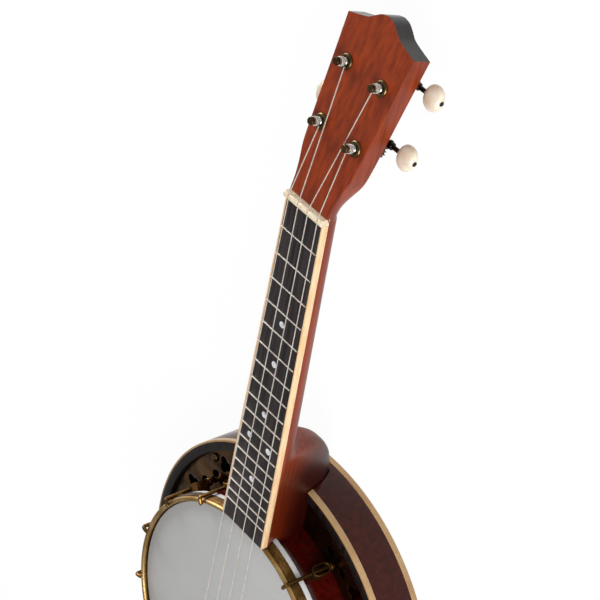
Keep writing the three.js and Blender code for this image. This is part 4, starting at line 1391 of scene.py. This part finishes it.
@dataclass(kw_only=True)
class Resonator(Assembly):
    """Shell, bindings, flange and the screws that hold them."""

    neck: Neck
    notch: float = 0.6
    height: float = 36.8
    back: float = 5.0
    cove: float = 3.0
    foot: Pair = (1.5, 0.4)
    shell_edge: float = 0.3
    black_low: float = 1.0
    black_inset: float = 0.2
    binding: float = 1.5
    top_binding: float = 4.7
    top_edge: float = 0.3
    back_binding: float = 4.9
    back_lift: float = 0.4
    back_edge: float = 0.5
    flange_top: float = 33.8
    flange_thickness: float = 1.5
    flange_edge: float = 0.2
    clover_lobe: float = 3.4
    clover_spread: float = 3.3
    clover_sweep: float = math.pi * 0.56
    slot_half: Pair = (4.0, 2.9)
    slot_turn: float = math.radians(4.5)
    slot_circle: float = 107.0
    screws: int = 4
    screw_radius: float = 3.4
    screw_circle: float = 118.0
    screw_rim: float = 0.5
    screw_dome: float = 2.4
    screw_slot: Pair = (0.5, 2.2)

    @property
    def rabbet(self) -> float:
        """Inner radius of the bindings."""
        return self.plan.resonator_radius - self.binding

    def build(self) -> None:
        """Makes every piece of the resonator."""
        self.shell()
        self.bindings()
        self.flange()
        self.make_screws()

    def notched(self, made: Solid) -> Solid:
        """Cuts the heel's notch."""
        return made.cut(self.neck.heel_opening(self.notch)).shade()

    def shell(self) -> None:
        """The dish: glossy side, black rim face and inside, notched for the heel."""
        plan = self.plan
        outer, inner = plan.resonator_radius, plan.resonator_radius - plan.resonator_wall
        rabbet = self.rabbet - plan.glue
        low, high = self.back_binding + plan.glue, self.height - self.top_binding - plan.glue
        corners = axial([
            (rabbet - self.foot[0], 0), (rabbet, self.foot[1]), (rabbet, low), (outer, low),
            (outer, high), (rabbet, high), (rabbet, self.height), (inner, self.height),
            (inner, self.back + self.cove), (inner - self.cove, self.back)])
        made = Solid.revolve(
            "shell_wood", rounded(corners, self.shell_edge, 2, False), self.finishes.side, WIDE_FACES)

        def is_black(face: bpy.types.MeshPolygon) -> bool:
            """Whether a face lies above the back and inside the bindings."""
            x, y, z = face.center / MM
            return z > self.black_low and math.hypot(x, y) < rabbet - self.black_inset

        made.paint(self.finishes.black, is_black)
        self.notched(made).seat("body", "dark_wood", "resonator_shell")

    def bindings(self) -> None:
        """Cream bindings at both edges of the side."""
        outer, finish = self.plan.resonator_radius, self.finishes.binding
        profile = rectangle(self.rabbet, outer, self.height - self.top_binding, self.height)
        top = Solid.revolve("top_binding_cream", rounded(profile, self.top_edge), finish, WIDE_FACES)
        self.notched(top).seat("body", "cream_binding", "resonator_top_binding")
        profile = rectangle(self.rabbet, outer, self.back_lift, self.back_binding)
        back = Solid.revolve("back_binding_cream", rounded(profile, self.back_edge), finish, WIDE_FACES)
        back.seat("body", "cream_binding", "resonator_back_binding")

    def clover(self, radius: float) -> Profile:
        """Outline of a three-lobed cut-out.

        Args:
            radius: the place of its middle along Y.

        Returns:
            A closed outline.
        """
        spread, lobe = self.clover_spread, self.clover_lobe
        made: Profile = []
        for middle in turns(3):
            centre = (spread * math.sin(middle), spread * math.cos(middle) + radius)
            start = math.pi / 2 - middle + self.clover_sweep
            made += arc(centre, (lobe, lobe), start, start - 2 * self.clover_sweep, 13)
        return made

    def outlines(self) -> list[Profile]:
        """The flange's two circles and its cut-outs."""
        plan = self.plan
        inner = plan.pot_radius + plan.clearance
        outer = plan.resonator_radius - plan.resonator_wall - plan.clearance
        made = [[(r * math.sin(t), r * math.cos(t)) for t in turns(WIDE_FACES)] for r in (outer, inner)]
        clover = self.clover((inner + outer) / 2 + self.clover_spread / 2)
        oval = arc((0, self.slot_circle), self.slot_half, 0, -TURN, 28)[:-1]
        for i in range(plan.hook_count):
            angle = plan.hook_neck_angle + plan.hook_step * i
            if i + 1 < plan.hook_count:
                made.append(turned(clover, angle + plan.hook_step / 2))
            made += [turned(oval, angle + side * self.slot_turn) for side in (-1, 1)]
        return made

    def flange(self) -> None:
        """The stamped flange, filled from a flat curve with its cut-outs."""
        curve = bpy.data.curves.new("flange", "CURVE")
        curve.dimensions, curve.fill_mode = "2D", "BOTH"
        curve.extrude = (self.flange_thickness / 2 - self.flange_edge) * MM
        curve.bevel_depth, curve.bevel_resolution = self.flange_edge * MM, 1
        curve.offset = -self.flange_edge * MM
        for outline in self.outlines():
            spline = curve.splines.new("POLY")
            spline.points.add(len(outline) - 1)
            for point, (x, y) in zip(spline.points, outline):
                point.co = (x * MM, y * MM, 0, 1)
            spline.use_cyclic_u = True
        drawn = link("flange curve", curve)
        depsgraph = bpy.context.evaluated_depsgraph_get()
        mesh = bpy.data.meshes.new_from_object(drawn.evaluated_get(depsgraph))
        bpy.data.objects.remove(drawn)
        work = bmesh.new()
        work.from_mesh(mesh)
        settle(work, mesh)
        mesh.materials.clear()
        mesh.materials.append(self.finishes.flange)
        made = Solid("flange_brass", mesh).shift(0, 0, self.flange_top - self.flange_thickness / 2)
        self.notched(made).seat("body", "aged_brass", "flange")

    def make_screws(self) -> None:
        """Domed screws through the flange."""
        radius, seat = self.screw_radius, self.flange_top + self.plan.glue
        dome = arc((0, seat + self.screw_rim), (radius, self.screw_dome), 0, math.pi / 2, 6)
        profile = [(AXIS_GAP, seat), (radius, seat)] + [(max(AXIS_GAP, r), z) for r, z in dome]
        half, floor = self.screw_slot
        head = Solid.revolve("screw", profile, self.finishes.cap, 32)
        head.cut(Solid.box((-OVERRUN, -half, seat + floor), (OVERRUN, half, OVERRUN)))
        made = RoundCopies().run(
            "screws_brass", head.shift(0, self.screw_circle, 0), Count=self.screws,
            First_Angle=math.pi / self.screws, Step_Angle=TURN / self.screws)
        made.seat("body", "aged_brass", *numbered("resonator_screw", self.screws))


@dataclass
class Strings(Assembly):
    """Four nylon strings and their turns on the posts."""

    sides: int = 10
    winding_radius: float = 2.65
    winding_low: float = 3.3
    winding_rise: float = 1.25
    winding_turns: float = 2.5
    leave_run: float = 2.15
    posts: tuple[tuple[str, Tuner], ...] = (
        ("bass", Tuner.BASS_LOW), ("second", Tuner.BASS_HIGH),
        ("third", Tuner.TREBLE_HIGH), ("treble", Tuner.TREBLE_LOW))

    def build(self) -> None:
        """Makes each string and its winding."""
        plan, nylon = self.plan, self.finishes.nylon
        seat = plan.hoop_top + plan.glue + plan.tail_sheet + plan.string_drop
        for (name, tuner), place in zip(self.posts, plan.string_places):
            frame, radius = plan.post_frame(tuner), self.winding_radius
            low = self.winding_low
            path = self.fine([
                Vector((place * plan.tail_spacing, -plan.tail_inner - 2 * plan.tail_sheet, seat)),
                Vector((place * plan.bridge_spacing, plan.bridge_y, plan.board_top + plan.bridge_action)),
                Vector((
                    place * plan.nut_spacing, plan.nut_y + plan.nut_length,
                    plan.board_top + plan.nut_action)),
                frame @ Vector((-tuner.side * radius, -self.leave_run, low - plan.string_radius / 2))])
            made = Solid.sweep(f"string_{name}_nylon", path, plan.string_radius, nylon, self.sides)
            made.seat("body", "nylon", f"string_{name}")
            path = [
                Vector((-tuner.side * radius * math.cos(t), radius * math.sin(t),
                        low + self.winding_rise * t / TURN))
                for t in np.linspace(0, TURN * self.winding_turns, 96)]
            coil = Solid.sweep(f"winding_{tuner.word}_nylon", path, plan.string_radius, nylon, self.sides)
            coil.place(frame).seat(f"post_{tuner.word}", "nylon", f"string_winding_{tuner.word}")

    @staticmethod
    def fine(stops: Sequence[Vector]) -> list[Vector]:
        """Adds points beside each bend, so that it turns in a short curve.

        Args:
            stops: the places where the string bends, and its ends.

        Returns:
            The finer route.
        """
        made = [stops[0]]
        for before, here, after in zip(stops, stops[1:], stops[2:]):
            back, on = (before - here).normalized(), (after - here).normalized()
            made += [here + back, here + back / 2, here, here + on / 2, here + on]
        return made + [stops[-1]]


@dataclass
class Tuners(Assembly):
    """Posts with their gears, grommets, worm shafts, buttons and housings."""

    worm_distance: float = 7.0
    gear_depth: float = 20.5
    gear_teeth: int = 14
    gear_width: float = 3.2
    flank: tuple[Pair, ...] = ((0.15, 0.27), (0, 0.2))
    root_share: float = 0.44
    pin: Pair = (2.0, 1.6)
    waist: tuple[Pair, ...] = ((2.6, 2.0), (1.95, 2.6), (1.95, 7.0))
    shank_edge: float = 0.2
    cap: tuple[Pair, ...] = ((1.95, 6.9), (2.5, 7.6), (2.6, 8.9), (2.3, 9.6))
    edge: float = 0.3
    sleeve_depth: float = 7.0
    sleeve_rim: tuple[Pair, ...] = ((5.2, 0.1), (5.15, 0.8), (4.4, 1.45), (3.4, 1.6))
    sleeve_top: float = 1.3
    shaft_radius: float = 1.5
    shaft_edge: float = 0.25
    shaft_ends: Pair = (1.6, 0.5)
    collar_radius: float = 2.5
    collar_ends: Pair = (0.25, 2.4)
    worm_tip: float = 2.6
    worm_pitch: float = 2.2
    worm_turns: int = 3
    thread_steps: int = 24
    thread_fade: int = 4
    thread_sink: Pair = (0.3, 0.1)
    thread_shares: Pair = (0.42, 0.2)
    button_centre: float = 22.3
    button_length: float = 6.9
    button_width: float = 8.3
    button_thick: float = 4.1
    button_end: float = 1.9
    button_fullness: Pair = (0.72, 0.9)
    ear_inner: float = 5.7
    ear_radius: float = 3.0
    seam: float = 0.05
    plate: float = 1.2
    plate_ends: Pair = (-6.0, 10.0)
    plate_corner: float = 2.0
    plate_edge: float = 0.2
    plate_screw: tuple[Pair, ...] = (
        (AXIS_GAP, 0.1), (1.4, 0.1), (1.3, -0.3), (0.8, -0.75), (AXIS_GAP, -0.8))
    plate_screw_at: Pair = (4.3, -3.6)

    def build(self) -> None:
        """Makes the four tuners."""
        for tuner in Tuner:
            self.post(tuner)
            self.grommet(tuner)
            self.worm(tuner)
            self.button(tuner)
        self.housings()

    def post(self, tuner: Tuner) -> None:
        """The whole post: gear on its low end, waist for the string, flared bronze cap.

        Args:
            tuner: which of the four tuners.
        """
        low, (pin, length), wide = -self.gear_depth - self.gear_width / 2, self.pin, self.plan.post_radius
        shank = Solid.revolve("shank", rounded(axial([
            (pin, low - length), (pin, low), (wide, low), *self.waist]), self.shank_edge),
            self.finishes.steel, 32)
        cap = Solid.revolve("cap", rounded(axial(self.cap), self.edge), self.finishes.cap, 32)
        made = Solid.merge(f"post_and_gear_{tuner.word}", shank, cap, self.gear(tuner.side)).shade(30)
        made.place(self.plan.post_frame(tuner))
        made.seat(f"post_{tuner.word}", "steel", f"tuner_post_{tuner.word}")

    def gear(self, side: int) -> Solid:
        """The post's gear, its teeth leaning as the worm's thread does.

        Args:
            side: 1 for a treble tuner, -1 for a bass one, which leans the other way.

        Returns:
            The gear in the post's frame.
        """
        plan = self.plan
        root = self.worm_distance - self.worm_tip - plan.clearance
        tip = self.worm_distance - self.shaft_radius - plan.clearance
        pitch = self.gear_teeth * self.worm_pitch / TURN
        lead = self.worm_pitch / (TURN * (self.worm_distance - pitch))
        rising = [(root, self.root_share)] + [(tip - inset, share) for inset, share in self.flank]
        tooth = [(radius, -share) for radius, share in rising] + rising[::-1]
        rings = []
        for height in np.linspace(-self.gear_width / 2, self.gear_width / 2, 5):
            lean = math.pi / 2 + side * height * lead / pitch
            angles = [
                (radius, lean + TURN * share / 2 / self.gear_teeth + start)
                for start in turns(self.gear_teeth) for radius, share in tooth]
            rings.append([(r * math.cos(t), r * math.sin(t), height - self.gear_depth) for r, t in angles])
        bore = Solid.bar(plan.post_radius - plan.glue, 24)
        return Solid.loft("gear", rings, self.finishes.cap, 30).cut(bore)

    def drive_frame(self, tuner: Tuner) -> Matrix:
        """The button shaft's own frame, its X axis towards the button.

        Args:
            tuner: which of the four tuners.

        Returns:
            The frame as a matrix.
        """
        shaft = Matrix.Translation((0, self.worm_distance, -self.gear_depth))
        turn = Matrix.Rotation(math.pi if tuner.side < 0 else 0, 4, "Y")
        return self.plan.post_frame(tuner) @ shaft @ turn

    def worm(self, tuner: Tuner) -> None:
        """The button's shaft with its worm thread and a collar outside the housing.

        Args:
            tuner: which of the four tuners.
        """
        core, collar, reach = self.shaft_radius, self.collar_radius, self.ear_inner + self.plate
        near, far = reach + self.collar_ends[0], reach + self.collar_ends[1]
        inner = -reach - self.shaft_ends[0]
        outer = self.button_centre + self.button_length + self.shaft_ends[1]
        profile = axial([
            (core, inner), (core, near), (collar, near), (collar, far), (core, far), (core, outer)])
        shaft = Solid.revolve("shaft", rounded(profile, self.shaft_edge), self.finishes.dark, 28).tip("Y")
        (sink, rise), (wide, narrow) = self.thread_sink, self.thread_shares
        steps = self.thread_steps * self.worm_turns
        rings = []
        for i in range(steps + 1):
            turn = TURN * i / self.thread_steps
            x = self.worm_pitch * (i / self.thread_steps - self.worm_turns / 2)
            fade = min(1.0, i / self.thread_fade, (steps - i) / self.thread_fade)
            tip = core - rise + (self.worm_tip - core + rise) * fade
            rings.append([
                (x + share * self.worm_pitch / 2, -radius * math.cos(turn),
                 -tuner.side * radius * math.sin(turn))
                for radius, share in (
                    (core - sink, -wide), (tip, -narrow), (tip, narrow), (core - sink, wide))])
        thread = Solid.loft("thread", rings, self.finishes.dark, 30)
        made = Solid.merge(f"worm_and_shaft_{tuner.word}", shaft, thread).shade(30)
        made.place(self.drive_frame(tuner))
        made.seat(f"drive_{tuner.word}", "dark_steel", f"worm_shaft_{tuner.word}")

    def housing(self) -> Solid:
        """A base plate with two rounded ears for the worm and two small screws."""
        plan, finish = self.plan, self.finishes.dark
        top = -plan.head_thick - plan.clearance
        low, reach = top - self.plate, self.ear_inner + self.plate
        corners = rounded(rectangle(-reach, reach, *self.plate_ends), self.plate_corner, 4)
        made = Solid.slab("plate", corners, low, top, finish)
        outline = arc(
            (self.worm_distance, -self.gear_depth), (self.ear_radius, self.ear_radius), math.pi, TURN, 14)
        root = top - plan.clearance
        outline = [(outline[0][0], root), *outline, (outline[-1][0] - self.seam, root)]
        for side in (self.seam - reach, self.ear_inner):
            ear = Solid.slab("ear", outline, side, side + self.plate - self.seam, finish, upright)
            made.cut(ear, "UNION")
        bore = Solid.bar(self.shaft_radius + plan.clearance, 24).tip("Y")
        made.cut(bore.shift(0, self.worm_distance, -self.gear_depth))
        made.cut(Solid.bar(plan.post_radius + plan.clearance, 28)).bevel(self.plate_edge)
        profile = rounded([(r, low + z) for r, z in self.plate_screw], self.plate_edge)
        x, y = self.plate_screw_at
        return Solid.merge("housing", made, *[
            Solid.revolve("screw", profile, self.finishes.cap, 20).shift(side * x, y, 0)
            for side in (-1, 1)]).shade()

    def housings(self) -> None:
        """Four copies of the housing, each seated under its own post."""
        template = self.housing()
        for tuner in Tuner:
            made = Solid(f"housing_{tuner.word}", template.mesh.copy()).place(self.plan.post_frame(tuner))
            made.seat("body", "dark_steel", f"tuner_housing_{tuner.word}")
        template.drop()

    def grommet(self, tuner: Tuner) -> None:
        """The brass bushing that lines the post's hole.

        Args:
            tuner: which of the four tuners.
        """
        plan, depth = self.plan, self.sleeve_depth
        bore, wide = plan.post_radius + plan.clearance, plan.sleeve_radius
        profile = [
            (bore, -depth), (wide, -depth), (wide, plan.glue), *self.sleeve_rim,
            (bore, self.sleeve_top)]
        made = Solid.revolve(
            f"grommet_{tuner.word}", rounded(profile, self.edge), self.finishes.cap, 40)
        made.place(plan.post_frame(tuner)).seat("body", "aged_brass", f"tuner_grommet_{tuner.word}")

    def button(self, tuner: Tuner) -> None:
        """The oval ivory button, with the shaft's dark end showing.

        Args:
            tuner: which of the four tuners.
        """
        (full, flatter), end = self.button_fullness, self.button_end
        rings = []
        for turn in np.linspace(0, math.pi, 25):
            x = self.button_centre - math.cos(turn) * self.button_length
            grow = abs(math.sin(turn)) ** full
            wide, thick = max(self.button_width * grow, end), max(self.button_thick * grow ** flatter, end)
            rings.append([(x, wide * math.cos(t), thick * math.sin(t)) for t in turns(36)])
        made = Solid.loft(f"button_{tuner.word}", rings, self.finishes.ivory, 60)
        made.cut(Solid.bar(self.shaft_radius + self.plan.glue, 24).tip("Y"))
        made.shade(50).place(self.drive_frame(tuner))
        made.seat(f"drive_{tuner.word}", "ivory_plastic", f"tuner_button_{tuner.word}")


@dataclass
class Hardware(Assembly):
    """Coordinator rod, bridge and tailpiece."""

    rod_height: float = 24.0
    rod: float = 3.0
    rod_edge: float = 0.5
    rod_nut: float = 5.5
    rod_nut_height: float = 4.0
    bolt: float = 2.4
    bolt_reach: float = 7.0
    bridge_half: float = 25.0
    bridge_thick: float = 3.2
    bridge_taper: float = 0.45
    bridge_rise: float = 0.8
    bridge_edge: float = 0.25
    shoulder: Pair = (1.5, 0.4)
    foot: float = 7.0
    arch: float = 6.5
    arch_fullness: float = 0.7
    slot: float = 1.3
    tail_half: float = 15.0
    tail_skirt: float = 7.0
    tail_lip: float = 3.0
    tail_bend: float = 0.6
    tail_fillet: float = 0.5
    tail_edge: float = 0.3

    def build(self) -> None:
        """Makes the three pieces."""
        self.coordinator()
        self.bridge()
        self.tailpiece()

    def coordinator(self) -> None:
        """The rod through the pot, with its nuts and end bolts."""
        plan, bolt, wide = self.plan, self.bolt, self.rod_nut
        inside = math.sqrt((plan.pot_radius - plan.pot_wall) ** 2 - wide ** 2) - 2 * plan.clearance
        nut = inside - self.rod_nut_height
        profile = axial([
            (bolt, -plan.pot_radius - self.bolt_reach / 2), (bolt, -inside), (wide, -inside), (wide, -nut),
            (self.rod, -nut), (self.rod, nut), (wide, nut), (wide, inside), (bolt, inside),
            (bolt, plan.pot_radius + self.bolt_reach)])
        made = Solid.revolve("rod_nickel", rounded(profile, self.rod_edge), self.finishes.rod, 36)
        made.tip("X", -math.pi / 2).shift(0, 0, self.rod_height)
        made.seat("body", "steel", "coordinator_rod")

    def bridge(self) -> None:
        """The maple bridge: three feet, two arches, thinner towards the strings."""
        plan, wide = self.plan, self.bridge_half
        low, line = plan.head_surface + plan.glue, plan.board_top + plan.bridge_action
        high = line + self.bridge_rise
        middle = (self.foot / 2 + wide - self.foot) / 2
        span = wide - self.foot - middle
        outline = [(-wide, low)]
        for side in (-1, 1):
            for turn in np.linspace(math.pi, 0, 17):
                rise = self.arch * abs(math.sin(turn)) ** self.arch_fullness
                outline.append((side * middle + span * math.cos(turn), low + rise))
        end, (run, drop) = wide - self.foot / 2, self.shoulder
        outline += [
            (wide, low), (wide, low + self.foot / 2), (end, high - drop), (end - run, high),
            (run - end, high), (-end, high - drop), (-wide, low + self.foot / 2)]
        half = self.bridge_thick / 2
        made = Solid.slab(
            "bridge_maple", outline, -half, half, self.finishes.maple, lambda u, v, h: (
                u, plan.bridge_y + h * (1 - self.bridge_taper * (v - low) / (high - low)), v))
        self.slotted(made, plan.bridge_spacing, self.slot, (plan.bridge_y, line - plan.string_drop))
        made.bevel(self.bridge_edge).seat("body", "maple", "bridge")

    def tailpiece(self) -> None:
        """Bent sheet on the hoop, with string slots in its raised lip."""
        plan, bend, fillet = self.plan, self.tail_bend, self.tail_fillet
        seat, sheet = plan.hoop_top + plan.glue, plan.tail_sheet
        top = seat + sheet
        inner, band = plan.tail_inner, plan.hoop_outer + plan.clearance
        profile = [
            (inner, seat), (band, seat), (band, seat - self.tail_skirt),
            (band + sheet, seat - self.tail_skirt), (band + sheet, top - bend), (band + sheet - bend, top),
            (inner + sheet + fillet, top), (inner + sheet, top + fillet),
            (inner + sheet, top + self.tail_lip), (inner, top + self.tail_lip)]
        made = Solid.slab(
            "tailpiece_brass", profile, -self.tail_half, self.tail_half, self.finishes.brass,
            lambda u, v, h: (h, -u, v))
        wide = plan.hook_wire + plan.clearance
        made.cut(Solid.box((-wide, -OVERRUN, 0), (wide, -plan.hoop_inner + 2 * plan.clearance, OVERRUN)))
        self.slotted(made, plan.tail_spacing, self.slot, (-inner, top), self.tail_lip)
        made.bevel(self.tail_edge).seat("body", "aged_brass", "tailpiece")


@dataclass
class Studio:
    """Camera, floor, lamps and world."""

    lens_pixels: float = 2339.0
    frame_pixels: float = 600.0
    sensor: float = 36.0
    view_end: float = 20.0
    eye: Point = (830.99, 1150.92, 892.73)
    right: Point = (0.60914, 0.158688, -0.777024)
    down: Point = (0.549558, -0.79086, 0.269306)
    ahead: Point = (-0.571782, -0.591065, -0.568953)
    floor_half: float = 3.0
    floor_gap: float = 0.0005
    floor_grey: float = 0.8
    floor_light: float = 1.02
    floor_glow: float = 0.93
    floor_sheen: float = 0.65
    fill: float = 0.3
    sky_sheen: float = 0.2
    aim: Point = (0, 0.15, 0.04)
    lamps: tuple[tuple[Point, float, float], ...] = (
        ((1.9, 0.2, 1.5), 1.4, 57.0), ((-1.75, 1.3, 0.52), 1.0, 36.0))

    def build(self) -> None:
        """Sets the whole studio up."""
        self.camera()
        self.world()
        self.floor()
        for place, size, power in self.lamps:
            self.lamp(place, size, power)
        bpy.context.scene.view_settings.view_transform = "Standard"

    def camera(self) -> None:
        """A camera at the photograph's viewing angle."""
        data = bpy.data.cameras.new("camera")
        data.sensor_width, data.clip_end = self.sensor, self.view_end
        data.lens = self.lens_pixels / self.frame_pixels * self.sensor
        made = link("camera", data)
        axes = Matrix((self.right, [-c for c in self.down], [-c for c in self.ahead])).transposed()
        made.matrix_world = Matrix.Translation(Vector(self.eye) * MM) @ axes.to_4x4()
        bpy.context.scene.camera = made

    @staticmethod
    def seen(graph: Graph, sheen: float) -> Expr:
        """What a ray sees of a white surround.

        Args:
            graph: the tree that asks.
            sheen: the surround's level in reflections.

        Returns:
            One for the camera, sheen in reflections, zero for the light on the object.
        """
        rays = graph.node("ShaderNodeLightPath").outputs
        camera, through, glossy = (
            Expr(graph, rays[f"Is {kind} Ray"]) for kind in ("Camera", "Transmission", "Glossy"))
        return camera + through + glossy * sheen

    def world(self) -> None:
        """A white surround that lights the object at a plain level."""
        world = bpy.data.worlds.new("surround")
        world.use_nodes = True
        world.node_tree.nodes.clear()
        graph = Graph(world.node_tree)
        strength = self.fill + self.seen(graph, self.sky_sheen) * (1.0 - self.fill)
        light = graph.node("ShaderNodeBackground", {"Color": WHITE, "Strength": strength})
        graph.node("ShaderNodeOutputWorld", {"Surface": light.outputs[0]})
        bpy.context.scene.world = world

    def floor(self) -> None:
        """A plain pale floor that shows white and keeps a soft shadow."""
        half, low = self.floor_half / MM, -self.floor_gap / MM
        paint = Paint("floor")
        white = paint.node("ShaderNodeEmission", {"Color": WHITE, "Strength": self.floor_light})
        matt = paint.node("ShaderNodeBsdfDiffuse", {"Color": (*[self.floor_grey] * 3, 1)})
        share = self.seen(paint, self.floor_sheen) * self.floor_glow
        both = paint.node("ShaderNodeMixShader", {0: share, 1: matt.outputs[0], 2: white.outputs[0]})
        paint.node("ShaderNodeOutputMaterial", {"Surface": both.outputs[0]})
        points = [(x, y, low) for x, y in rectangle(-half, half, -half, half)]
        Solid.drawn("floor", points, [(0, 1, 2, 3)], paint.material).object

    def lamp(self, place: Point, size: float, power: float) -> None:
        """A soft square lamp that points at the object.

        Args:
            place: where it stands, in metres.
            size: its side, in metres.
            power: its power, in watts.
        """
        data = bpy.data.lights.new("softbox", "AREA")
        data.size, data.energy = size, power
        made = link("softbox", data)
        made.rotation_euler = (Vector(self.aim) - Vector(place)).to_track_quat("-Z", "Y").to_euler()
        made.location = place


def main() -> None:
    """Builds the instrument and its studio."""
    logging.basicConfig(level=logging.INFO, format="%(message)s")
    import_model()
    Studio().build()
    finishes = Palette()
    neck = Neck(finishes)
    neck.build()
    Fretboard(finishes).build()
    Pot(finishes).build()
    Resonator(finishes, neck=neck).build()
    Strings(finishes).build()
    Tuners(finishes).build()
    Hardware(finishes).build()


if __name__ == "__main__":
    main()
